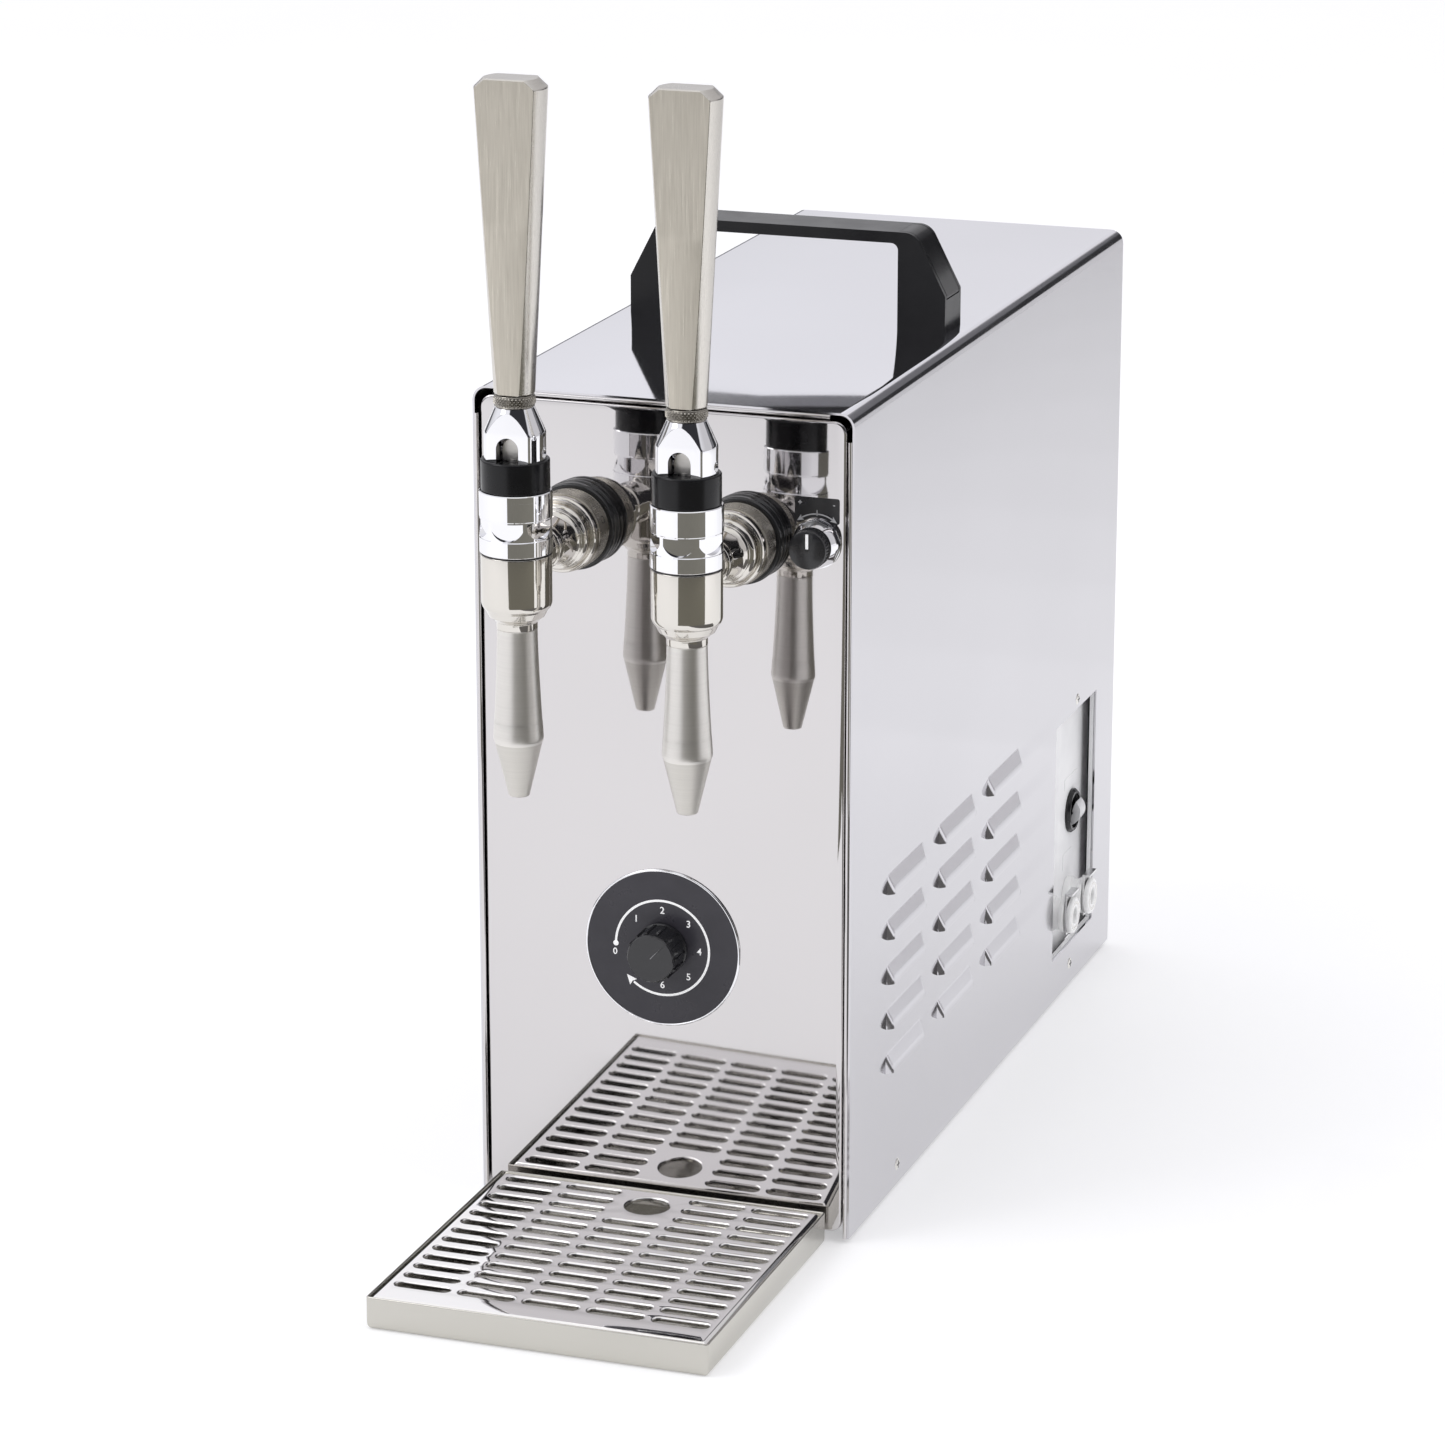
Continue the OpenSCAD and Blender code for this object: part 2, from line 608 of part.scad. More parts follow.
block_y0 = 74;
block_y1 = 330;
block_z0 = 196;
block_z1 = 366;

module insulation_jacket() color([0.85, 0.83, 0.7]) cab() difference() {
    box(-85, 85, block_y0 - 14, block_y1 + 14, block_z0 - 14, block_z1 + 14);
    box(-68, 68, block_y0, block_y1, block_z0, block_z1);
    for (s = [-1, 1]) translate([s * tap_x, block_y0 - 20, shank_z]) rotate([-90, 0, 0])
        cylinder(r = 6.2, h = 30);
    for (s = [-1, 1]) translate([s * 50, block_y1 - 5, 240]) rotate([-90, 0, 0]) cylinder(r = 6.2, h = 30);
}

coil_y = [135, 265];
coil_r = 46;
coil_turns = 8;
coil_z0 = 226;
coil_pitch = 16;

module cooling_block() color([0.75, 0.76, 0.77]) cab() difference() {
    box(-67.7, 67.7, block_y0 + 0.3, block_y1 - 0.3, block_z0 + 0.3, block_z1 - 0.3);
    for (y = coil_y) translate([0, y, block_z0 + 12]) ring(coil_r + 9, coil_r - 9, block_z1 - block_z0);
    // Ways in for the beverage lines
    for (s = [-1, 1]) translate([s * tap_x, block_y0 - 5, shank_z]) rotate([-90, 0, 0])
        cylinder(r = 5.6, h = 70);
    for (s = [-1, 1]) translate([s * 50, block_y1 + 5, 240]) rotate([90, 0, 0]) cylinder(r = 5.6, h = 70);
}

module product_coils() color([0.8, 0.8, 0.8])
    for (y = coil_y) cab() translate([0, y, coil_z0]) {
        for (i = [0:coil_turns - 1]) translate([0, 0, i * coil_pitch]) rotate_extrude()
            translate([coil_r, 0]) circle(r = 4, $fn = 24);
        translate([coil_r, 0, 0]) cylinder(r = 3.9, h = (coil_turns - 1) * coil_pitch, $fn = 24);
    }

line_r = 4.2;

module product_lines() color([0.85, 0.9, 0.95]) cab() {
    // Shank tails to the block, then inlet couplings to the block
    for (s = [-1, 1]) pipe([[s * tap_x, 46.2, shank_z], [s * tap_x, block_y0 + 8, shank_z]], line_r);
    tail_x = plate_x - 40.2;
    pipe([[tail_x, inlet_y[0], inlet_z], [38, inlet_y[0], inlet_z], [38, inlet_y[0], 240], [50, inlet_y[0], 240],
        [50, block_y1 - 8, 240]], line_r);
    pipe([[tail_x, inlet_y[1], inlet_z], [28, inlet_y[1], inlet_z], [28, inlet_y[1], 150], [-50, inlet_y[1], 150],
        [-50, inlet_y[1], 240], [-50, block_y1 - 8, 240]], line_r);
}

module refrigerant_pipes() color([0.72, 0.45, 0.3]) cab() {
    // Hot line from compressor to condenser with the drier, and the cold return
    hot_x = comp_x - 20;
    cold_x = comp_x + 10;
    pipe([[hot_x, comp_y, comp_top], [hot_x, comp_y, 160], [hot_x, drier_y, 160], [hot_x, drier_y, 30],
        [hot_x, cond_y + 40.1, 30]], 3);
    translate([hot_x, drier_y, 60]) cylinder(r = 9, h = 70);
    pipe([[cold_x, comp_y, comp_top], [cold_x, comp_y, 170], [cold_x, 300, 170], [cold_x, 300, block_z0 - 14.1]], 4);
}

module air_pump() color([0.25, 0.25, 0.27]) cab() {
    box(-62, -8, 60, 120, pan_z + pan_t, 44);
    translate([-35, 90, 43]) cylinder(r = 22, h = 26);
    translate([-35, 62, 30]) rotate([90, 0, 0]) cylinder(r = 4, h = 12);
}

// ---------- Taps ----------

module shanks() color([0.8, 0.8, 0.8]) shanks_axes() difference() {
    translate([0, 0, -46]) cylinder(r = shank_r, h = 46 + 44);
    translate([0, 0, -47]) cylinder(r = shank_bore_r, h = 100);
}

module shank_gaskets() color([0.06, 0.06, 0.06]) shanks_axes() rotate_extrude()
    polygon([[shank_r, -panel_y], [20.2, -panel_y], [20.6, 0.4], [20.6, 2.2], [19.4, 3], [19.4, 4], [20.6, 4.8],
        [20.6, gasket_out - 0.8], [20, gasket_out], [shank_r, gasket_out]]);

module lock_rings() color([0.7, 0.69, 0.66]) shanks_axes() difference() {
    rotate_extrude() polygon([[shank_r, gasket_out], [18.3, gasket_out], [18.5, gasket_out + 0.5],
        [18.5, ring_out - 0.6], [18, ring_out], [shank_r, ring_out]]);
    for (i = [0:3]) rotate([0, 0, 20 + 90 * i]) translate([14, 0, (gasket_out + ring_out) / 2])
        rotate([0, 90, 0]) cylinder(r = 1.7, h = 8);
}

// Polished union: flange, groove and a concave bell that narrows to the tap's boss
module shank_unions() color([0.85, 0.85, 0.85]) shanks_axes() rotate_extrude() polygon(concat(
    [[shank_r, ring_out], [17.6, ring_out], [17.8, flange_out - 1], [17, flange_out], [15.8, flange_out],
        [15.6, flange_out - 0.7], [15.2, flange_out - 0.7], [15.2, flange_out + 2.4]],
    arc(12.8, flange_out + 2.6, 2.4, 0, 80),
    [for (t = [0:15:90]) [boss_r + 0.3 + 3.2 * (1 - sin(t)), flange_out + 5.2 + 13.8 * (1 - cos(t))]],
    [[boss_r + 1, 45], [boss_r + 1, union_out - 1], [boss_r, union_out], [shank_r, union_out]]));

module shank_back_nuts() color([0.75, 0.7, 0.5]) shanks_axes() translate([0, 0, -panel_y - panel_t - 9])
    difference() {
        cylinder(r = 15, h = 9, $fn = 6);
        translate([0, 0, -1]) cylinder(r = shank_r, h = 12);
    }

module tap_lower_bodies() color([0.83, 0.82, 0.8]) taps() difference() {
    union() {
        rotate_extrude() polygon(concat([[0, nozzle_top], [9.4, nozzle_top], [9.4, neck_top], [9.6, neck_top]],
            [for (a = [0:10:90]) [9.6 + (body_r - 9.6) * pow(sin(a), 0.9), body_z0 + 1 - 7 * cos(a)]],
            [[body_r, seal_z0], [0, seal_z0]]));
        difference() {
            translate([0, 8, shank_local]) rotate([-90, 0, 0]) cylinder(r = boss_r, h = tap_out - union_out - 8);
            translate([0, 0, seal_z0]) cylinder(r = upper_r + 0.2, h = 30);
        }
    }
    translate([0, 0, body_z0 + 5]) cylinder(r = 11.5, h = 40);
    translate([0, 0, nozzle_top - 1]) cylinder(r = 5, h = 30);
    translate([0, 6, shank_local]) rotate([-90, 0, 0]) cylinder(r = shank_bore_r, h = 40);
}

// Chromed top half: a ring with six half-moon wrench pockets
module tap_upper_bodies() color([0.88, 0.88, 0.9]) taps() difference() {
    rotate_extrude() polygon([[rod_r + fit, upper_z0], [16, upper_z0], [upper_r, upper_z0 + 0.5],
        [upper_r, 121], [upper_r - 0.25, 121.4], [upper_r - 0.25, 130.2], [upper_r, 130.6],
        [upper_r, collar_z0 - 0.5], [16, collar_z0], [rod_r + fit, collar_z0]]);
    for (i = [0:5]) rotate([0, 0, i * 60 - 84]) translate([14.5, 0, 129.6]) rotate([90, 0, 90])
        linear_extrude(5) intersection() {
            circle(r = 8);
            translate([-9, -9]) square([18, 9]);
        }
}

module tap_seals() color([0.06, 0.06, 0.06]) taps() translate([0, 0, seal_z0])
    ring(16.1, 11.5, upper_z0 - seal_z0);

module tap_collars() color([0.05, 0.05, 0.05]) taps() rotate_extrude()
    polygon([[rod_r + 0.4, collar_z0], [15.4, collar_z0], [15.5, collar_z0 + 0.4], [15.5, collar_z1 - 0.5],
        [15.1, collar_z1], [14.7, collar_z1], [14.2, dish_z], [rod_r + 0.4, dish_z]]);

// Long slender spout: waisted body, faint step and a conical tip
function spout(z) = z < 28.5 ? 11.4 : 9.2 + 2.2 * pow((nozzle_top - z) / 50, 1.5);

module nozzles() color([0.75, 0.73, 0.7]) taps() difference() {
    rotate_extrude() polygon(concat([[3.2, 0], [4.6, 0], [4.8, 0.3], [11, 25.4], [11.4, 27.4], [11.4, 28.5]],
        [for (z = [32:3.1:nozzle_top - 0.4]) [spout(z), z]], [[9.2, nozzle_top - 0.05], [3.2, nozzle_top - 0.05]]));
    translate([0, 0, 30]) cylinder(r = 6, h = 60);
}

// Perforated disc that breaks the beer into a creamy head
module flow_discs() color([0.85, 0.85, 0.85]) taps() translate([0, 0, 60]) difference() {
    cylinder(r = 6, h = 1.2);
    for (i = [0:4]) rotate([0, 0, i * 72]) translate([3, 0, -1]) cylinder(r = 0.5, h = 4, $fn = 16);
}

// Stem: flat tongue for the pivot pin, rod through the body, and the seat washer
module stem_shape() difference() {
    union() {
        translate([0, 3.5, 0]) rotate([90, 0, 0]) linear_extrude(7) {
            translate([0, 161]) circle(r = 4.6);
            translate([-4.6, dish_z + 0.4]) square([9.2, 161 - dish_z - 0.4]);
        }
        translate([0, 0, stem_low]) cylinder(r = rod_r, h = dish_z + 1 - stem_low);
        translate([0, 0, stem_low]) cylinder(r = 8, h = 4);
    }
    translate([-10, 0, pin_z]) rotate([0, 90, 0]) cylinder(r = pin_r + fit, h = 20);
}

module left_stem() color([0.62, 0.6, 0.57]) tap(-1) stem_shape();
module right_stem() color([0.62, 0.6, 0.57]) tap(1) stem_shape();

// Fork: turned head with milled front and back flats and an arched slot
module fork_shape() difference() {
    intersection() {
        rotate_extrude() polygon([[0, fork_z0], [13.4, fork_z0], [fork_r, fork_z0 + 0.6], [fork_r, fork_z1],
            [8.9, ferrule_z0 - 0.4], [8.4, ferrule_z0], [0, ferrule_z0]]);
        translate([-20, 0, (fork_z0 + ferrule_z0) / 2]) rotate([90, 0, 90]) linear_extrude(40)
            round_rect(2 * fork_flat, ferrule_z0 - fork_z0, 1.5);
    }
    translate([0, 20, 0]) rotate([90, 0, 0]) linear_extrude(40) {
        translate([0, 162]) circle(r = slot_half);
        translate([-slot_half, fork_z0 - 2]) square([2 * slot_half, 162 - fork_z0 + 2]);
    }
    translate([-20, 0, pin_z]) rotate([0, 90, 0]) cylinder(r = pin_r, h = 40);
    translate([0, 0, fork_z1 + 2]) cylinder(r = 4.7, h = 20);
}

module left_fork() color([0.88, 0.88, 0.9]) tap(-1) fork_shape();
module right_fork() color([0.88, 0.88, 0.9]) tap(1) fork_shape();

module pin_shape() translate([-13.2, 0, pin_z]) rotate([0, 90, 0]) cylinder(r = pin_r, h = 26.4);
module left_pivot_pin() color([0.6, 0.6, 0.6]) tap(-1) pin_shape();
module right_pivot_pin() color([0.6, 0.6, 0.6]) tap(1) pin_shape();

module ferrule_shape() rotate_extrude()
    polygon([[4.7, ferrule_z0], [8.3, ferrule_z0], [8.95, ferrule_z0 + 0.6], [8.95, bar_z0 - 0.5],
        [8.5, bar_z0], [4.7, bar_z0]]);
module left_ferrule() color([0.6, 0.58, 0.55]) tap(-1) ferrule_shape();
module right_ferrule() color([0.6, 0.58, 0.55]) tap(1) ferrule_shape();

// Lever bar: a cone milled flat at front and back, on a threaded stud
module bar_shape() {
    intersection() {
        rotate_extrude($fn = 96) polygon([[0, bar_z0], [8.8, bar_z0], [9.2, bar_z0 + 0.5],
            [16.3, bar_z1 - 4.2], [12.1, bar_z1], [0, bar_z1]]);
        translate([-20, 0, 0]) rotate([90, 0, 90]) linear_extrude(40)
            polygon([[-7.6, bar_z0], [7.6, bar_z0], [8.4, bar_z1 - 0.6], [7.8, bar_z1], [-7.8, bar_z1],
                [-8.4, bar_z1 - 0.6]]);
    }
    translate([0, 0, fork_z1 + 2.5]) cylinder(r = 4.7, h = bar_z0 - fork_z1 - 2);
}

module left_lever_bar() color([0.72, 0.7, 0.66]) tap(-1) bar_shape();
module right_lever_bar() color([0.72, 0.7, 0.66]) tap(1) bar_shape();

// ---------- Drip tray ----------

// Tray coordinates: x from the middle plane, y forward from the tray's back edge, z from the counter
module tray_axis() cab() translate([0, -tray_gap, 0]) mirror([0, 1, 0]) children();

// Pan body with rounded lower edges, grown or shrunk by d
module pan_body(d, z0, z1, r) {
    intersection() {
        translate([0, tray_l - d, 0]) rotate([90, 0, 0]) linear_extrude(tray_l - 2 * d)
            translate([0, (z0 + z1) / 2 + r]) round_rect(tray_w - 2 * d, z1 - z0 + 2 * r, r);
        translate([-tray_w / 2 + d, tray_l / 2, 0]) rotate([90, 0, 90]) linear_extrude(tray_w - 2 * d)
            translate([0, (z0 + z1) / 2 + r]) round_rect(tray_l - 2 * d, z1 - z0 + 2 * r, r);
        translate([0, tray_l / 2, z0]) linear_extrude(z1 - z0) round_rect(tray_w - 2 * d, tray_l - 2 * d, 1.2);
    }
}

module drip_tray() color([0.78, 0.77, 0.74]) tray_axis() difference() {
    pan_body(0, 0, tray_h, 3);
    pan_body(tray_t, tray_t, tray_h + 5, 2);
    // Nicks at the back corners of the rim
    for (s = [-1, 1]) translate([s * tray_w / 2, 0, tray_h]) rotate([0, 90, 0])
        cylinder(r = 2.5, h = 4, center = true);
}

grate_half = tray_w / 2 - tray_t - grate_gap;
grate_l = tray_l - 2 * (tray_t + grate_gap);
grate_top = tray_h - 0.2;

module drip_grate() color([0.8, 0.79, 0.77]) tray_axis() difference() {
    pan_body(tray_t + grate_gap, tray_t + 0.1, grate_top, 2);
    pan_body(tray_t + grate_gap + grate_t, -5, grate_top - grate_t, 1);
    // Side skirts are cut back, so the grate stands on four corner feet
    translate([0, tray_l / 2, 5]) {
        cube([2 * grate_half - 24, 2 * grate_l, 10], center = true);
        cube([4 * grate_half, grate_l - 24, 10], center = true);
    }
    for (c = [0:slot_cols - 1], r = [0:slot_rows - 1])
        let (x = (c - (slot_cols - 1) / 2) * slot_pitch_x)
            if (!(abs(x) < 1 && r < drain_rows))
                translate([x, slot_back + r * slot_pitch_y, 0]) linear_extrude(40) obround(slot_len, slot_w);
    translate([0, slot_back + slot_pitch_y * (drain_rows - 1) / 2, 0]) cylinder(r = drain_r, h = 40);
}

shell();
front_panel();
back_panel();
base_pan();
feet();
panel_screws();
carry_handle();
handle_caps();
handle_bolts();
dial_plate();
thermostat();
thermostat_knob();
gas_label();
gas_valve();
gas_bush();
gas_knob();
inset_plate();
blank_labels();
switch_body();
switch_rocker();
coupling_bodies();
coupling_nuts();
coupling_latch_front();
coupling_latch_rear();
mains_inlet();
compressor();
compressor_grommets();
condenser();
fan_shroud();
fan_motor();
fan_rotor();
cooling_block();
insulation_jacket();
product_coils();
product_lines();
refrigerant_pipes();
air_pump();
shanks();
shank_gaskets();
lock_rings();
shank_unions();
shank_back_nuts();
tap_lower_bodies();
tap_upper_bodies();
tap_seals();
tap_collars();
nozzles();
flow_discs();
left_stem();
right_stem();
left_fork();
right_fork();
left_pivot_pin();
right_pivot_pin();
left_ferrule();
right_ferrule();
left_lever_bar();
right_lever_bar();
drip_tray();
drip_grate();
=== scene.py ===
"""Looks of a slim countertop drinks cooler with two stout taps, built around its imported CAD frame."""

import json
import math

import bmesh
import bpy
from mathutils import Matrix, Vector


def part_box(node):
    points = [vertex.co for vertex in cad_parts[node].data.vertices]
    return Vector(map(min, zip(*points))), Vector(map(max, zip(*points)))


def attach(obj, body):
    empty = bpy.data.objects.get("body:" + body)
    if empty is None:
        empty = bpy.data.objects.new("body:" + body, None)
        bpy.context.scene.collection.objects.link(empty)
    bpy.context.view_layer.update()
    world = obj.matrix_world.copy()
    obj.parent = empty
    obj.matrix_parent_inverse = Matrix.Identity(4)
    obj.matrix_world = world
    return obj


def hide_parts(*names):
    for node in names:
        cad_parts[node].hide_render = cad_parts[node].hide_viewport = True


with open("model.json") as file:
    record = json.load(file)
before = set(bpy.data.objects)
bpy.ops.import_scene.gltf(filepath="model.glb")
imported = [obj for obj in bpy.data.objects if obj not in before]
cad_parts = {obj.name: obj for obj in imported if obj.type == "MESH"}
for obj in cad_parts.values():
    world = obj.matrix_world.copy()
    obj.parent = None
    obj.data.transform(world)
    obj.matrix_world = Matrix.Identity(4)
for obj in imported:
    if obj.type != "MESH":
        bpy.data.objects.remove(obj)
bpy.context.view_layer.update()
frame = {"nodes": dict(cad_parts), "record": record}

MM = 0.001
TAU = 2 * math.pi

# ---------- Places and sizes, worked out from the frame, in millimetres ----------


def box_mm(node):
    """Lowest and highest corner of a CAD node in millimetres."""
    low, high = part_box(node)
    return low / MM, high / MM


shell_lo, shell_hi = box_mm("shell")
panel_lo, panel_hi = box_mm("front_panel")
tray_lo, tray_hi = box_mm("drip_tray")
grate_lo, grate_hi = box_mm("drip_grate")
nozzle_lo, nozzle_hi = box_mm("nozzles")
gasket_lo, gasket_hi = box_mm("shank_gaskets")
dial_lo, dial_hi = box_mm("dial_plate")
gas_knob_lo, gas_knob_hi = box_mm("gas_knob")

MIDDLE_X = (shell_lo.x + shell_hi.x) / 2
FRONT_Y = shell_lo.y
BACK_Y = shell_hi.y
TOP_Z = shell_hi.z
GAP_Z = shell_lo.z
LOUVER_OUT = 4.2  # how far the louvers stand out of the side walls
HALF_W = (shell_hi.x - shell_lo.x) / 2 - LOUVER_OUT
NOZZLE_R = (nozzle_hi.y - nozzle_lo.y) / 2
TAP_XS = (nozzle_lo.x + NOZZLE_R, nozzle_hi.x - NOZZLE_R)
TAP_Y = (nozzle_lo.y + nozzle_hi.y) / 2
TIP_Z = nozzle_lo.z
SHANK_Z = (gasket_lo.z + gasket_hi.z) / 2
DIAL_Z = (dial_lo.z + dial_hi.z) / 2
DIAL_R = (dial_hi.x - dial_lo.x) / 2
GAS_X = (gas_knob_lo.x + gas_knob_hi.x) / 2
PANEL_FRONT = FRONT_Y - panel_lo.y
TAP_REACH = FRONT_Y - TAP_Y
FORWARD = Matrix(((1, 0, 0), (0, 0, -1), (0, 1, 0)))


def place_at(x, y, z, turn=Matrix()):
    """Local millimetres, turned, with their zero at a point in the frame."""
    return Matrix.Translation(Vector((x, y, z)) * MM) @ turn.to_4x4() @ Matrix.Scale(MM, 4)


def place_forward(x, z):
    """Local z points out of the front, local x right and y up; zero is the shell's front edge."""
    return place_at(x, FRONT_Y, z, FORWARD)


def place_side(sign):
    """Local x is the depth from the front edge, y the height over the counter, z out of that side."""
    return place_at(MIDDLE_X, FRONT_Y, 0, Matrix(((0, 0, sign), (1, 0, 0), (0, 1, 0))))


def place_back():
    """Local x right as seen from the front, y up, z out of the back panel."""
    return place_at(MIDDLE_X, box_mm("back_panel")[1].y, 0, Matrix(((1, 0, 0), (0, 0, 1), (0, 1, 0))))


TAPS = [place_at(x, TAP_Y, TIP_Z) for x in TAP_XS]
SHANKS = [place_forward(x, SHANK_Z) for x in TAP_XS]


# ---------- Camera, light and floor ----------

CAMERA_AT = (0.7672, -2.2480, 0.9065)
CAMERA_ANGLES = (73.576, 0.0, 19.396)
CAMERA_LENS = 125.56
LIGHT_TARGET = Vector((0, 0, 0.25))
# directions on the floor are measured from straight ahead of the cabinet towards its right side
GAP_MID = math.radians(36)
GAP_HALF = math.radians(43)
TENT_STOPS = [
    (0.0, (0.10, 0.10, 0.11)),
    (0.07, (0.08, 0.08, 0.09)),
    (0.14, (0.74, 0.74, 0.77)),
    (0.30, (0.93, 0.93, 0.97)),
    (0.75, (0.95, 0.95, 1.0)),
    (1.0, (1.0, 1.0, 1.0)),
]
GAP_SIDE_STOPS = [
    (math.cos(GAP_HALF + 0.04), (0, 0, 0)),
    (math.cos(GAP_HALF - 0.04), (1, 1, 1)),
]
GAP_TOP_STOPS = [(0.0, (1, 1, 1)), (0.60, (1, 1, 1)), (0.74, (0, 0, 0))]
SHADE_MID = math.radians(135)
SHADE_STOPS = [(0.35, (0, 0, 0)), (0.75, (1, 1, 1))]
SHADE_COLOR = (0.62, 0.61, 0.63)
GAP_COLOR = (0.035, 0.035, 0.04)
BACKDROP_COLOR = (0.93, 0.93, 0.94)


def linked(name, data):
    """New object in the scene's own collection."""
    thing = bpy.data.objects.new(name, data)
    bpy.context.scene.collection.objects.link(thing)
    return thing


def make_camera():
    data = bpy.data.cameras.new("photo_camera")
    data.lens = CAMERA_LENS
    data.sensor_width = 36
    data.clip_end = 50
    camera = linked("photo_camera", data)
    camera.location = CAMERA_AT
    camera.rotation_euler = [math.radians(angle) for angle in CAMERA_ANGLES]
    bpy.context.scene.camera = camera


def area_light(name, location, width, height, power):
    """Rectangular light that faces the middle of the cabinet."""
    data = bpy.data.lights.new(name, "AREA")
    data.shape = "RECTANGLE"
    data.size = width
    data.size_y = height
    data.energy = power
    light = linked(name, data)
    light.location = location
    light.rotation_euler = (LIGHT_TARGET - Vector(location)).to_track_quat("-Z", "Y").to_euler()
    return light


def make_world():
    """Pale tent with a dark horizon and a dark gap round the viewer, which polished metal mirrors."""
    world = bpy.data.worlds.new("pale_tent")
    world.use_nodes = True
    bpy.context.scene.world = world
    nodes = world.node_tree.nodes
    links = world.node_tree.links
    nodes.clear()

    def vector_node(operation, source, other=(0, 0, 0), result=0):
        made = nodes.new("ShaderNodeVectorMath")
        made.operation = operation
        made.inputs[1].default_value = other
        links.new(source, made.inputs[0])
        return made.outputs[result]

    def ramp_node(factor, stops):
        made = nodes.new("ShaderNodeValToRGB")
        elements = made.color_ramp.elements
        while len(elements) < len(stops):
            elements.new(0.5)
        for element, (position, color) in zip(elements, stops):
            element.position = position
            element.color = (*color, 1)
        links.new(factor, made.inputs[0])
        return made.outputs[0]

    def mix_node(factor, first, color):
        made = nodes.new("ShaderNodeMix")
        made.data_type = "RGBA"
        links.new(factor, made.inputs["Factor"])
        links.new(first, made.inputs["A"])
        made.inputs["B"].default_value = (*color, 1)
        return made.outputs["Result"]

    ray = nodes.new("ShaderNodeTexCoord").outputs["Generated"]
    split = nodes.new("ShaderNodeSeparateXYZ")
    links.new(ray, split.inputs[0])
    tent = ramp_node(split.outputs["Z"], TENT_STOPS)
    level = vector_node("NORMALIZE", vector_node("MULTIPLY", ray, (1, 1, 0)))
    toward = vector_node("DOT_PRODUCT", level, (math.sin(GAP_MID), -math.cos(GAP_MID), 0), "Value")
    share = nodes.new("ShaderNodeMath")
    share.operation = "MULTIPLY"
    links.new(ramp_node(toward, GAP_SIDE_STOPS), share.inputs[0])
    links.new(ramp_node(split.outputs["Z"], GAP_TOP_STOPS), share.inputs[1])
    away = vector_node("DOT_PRODUCT", ray, (math.sin(SHADE_MID), -math.cos(SHADE_MID), 0), "Value")
    shaded = mix_node(ramp_node(away, SHADE_STOPS), tent, SHADE_COLOR)
    mirrored = mix_node(share.outputs[0], shaded, GAP_COLOR)
    rays = nodes.new("ShaderNodeLightPath")
    seen = mix_node(rays.outputs["Is Camera Ray"], mirrored, BACKDROP_COLOR)
    back = nodes.new("ShaderNodeBackground")
    links.new(seen, back.inputs["Color"])
    out = nodes.new("ShaderNodeOutputWorld")
    links.new(back.outputs[0], out.inputs["Surface"])


def plain_mesh(name, corners):
    data = bpy.data.meshes.new(name)
    data.from_pydata(corners, [], [tuple(range(len(corners)))])
    return linked(name, data)


def level_sheet(name, x0, x1, y0, y1, z):
    return plain_mesh(name, [(x0, y0, z), (x1, y0, z), (x1, y1, z), (x0, y1, z)])


def standing_sheet(name, x0, x1, y, z0, z1):
    return plain_mesh(name, [(x0, y, z0), (x1, y, z0), (x1, y, z1), (x0, y, z1)])


def hide_from_all_but_reflections(thing):
    thing.visible_camera = thing.visible_diffuse = thing.visible_shadow = False
    thing.visible_transmission = thing.visible_volume_scatter = False


def make_stage():
    """Pale floor, and cards and cloths round the cabinet that only reflections see."""
    reach = 14
    floor = level_sheet("floor", -reach, reach, -reach, reach, 0)
    floor.data.materials.append(floor_material())
    # a dark sector of the floor round the viewer
    near, far, lift = 0.62, 9.0, 0.002
    turns = [GAP_MID - GAP_HALF + 2 * GAP_HALF * i / 12 for i in range(13)]
    rim = [(math.sin(t), -math.cos(t)) for t in turns]
    corners = [(near * x, near * y + TAP_Y * MM, lift) for x, y in rim]
    corners += [(far * x, far * y + TAP_Y * MM, lift) for x, y in reversed(rim)]
    # standing cards behind and to the right, which the right wall mirrors
    left, right, wall = 0.2, 3.5, 2.4
    low, high = 0.5, 0.98
    cards = [
        (plain_mesh("dark_cloth", corners), (0.15, 0.143, 0.115)),
        (level_sheet("dark_card", 0.28, 0.75, -0.75, 0.05, lift), (0.12, 0.115, 0.11)),
        (standing_sheet("grey_card", left, right, wall, 0, low), (0.80, 0.785, 0.79)),
        (standing_sheet("dark_strip", left, right, wall, low, high), (0.03, 0.03, 0.032)),
        (standing_sheet("dim_strip", left, right, wall, high, 2 * high - low), (0.2, 0.2, 0.21)),
    ]
    for card, color in cards:
        card.data.materials.append(moulded(color, 0.9, 3.0, 0.1))
    aids = [card for card, _ in cards]
    # strips of floor paper up to the cards, each a little darker than the last
    near_rug, rugs = 0.66, 9
    edges = [near_rug + (wall - near_rug) * i / rugs for i in range(rugs + 1)]
    for i in range(rugs):
        rug = level_sheet("runner_" + str(i), left, right, edges[i], edges[i + 1], lift)
        rug.data.materials.append(floor_material(0.965 - 0.025 * i))
        aids.append(rug)
    for aid in aids:
        hide_from_all_but_reflections(aid)


# ---------- Materials ----------


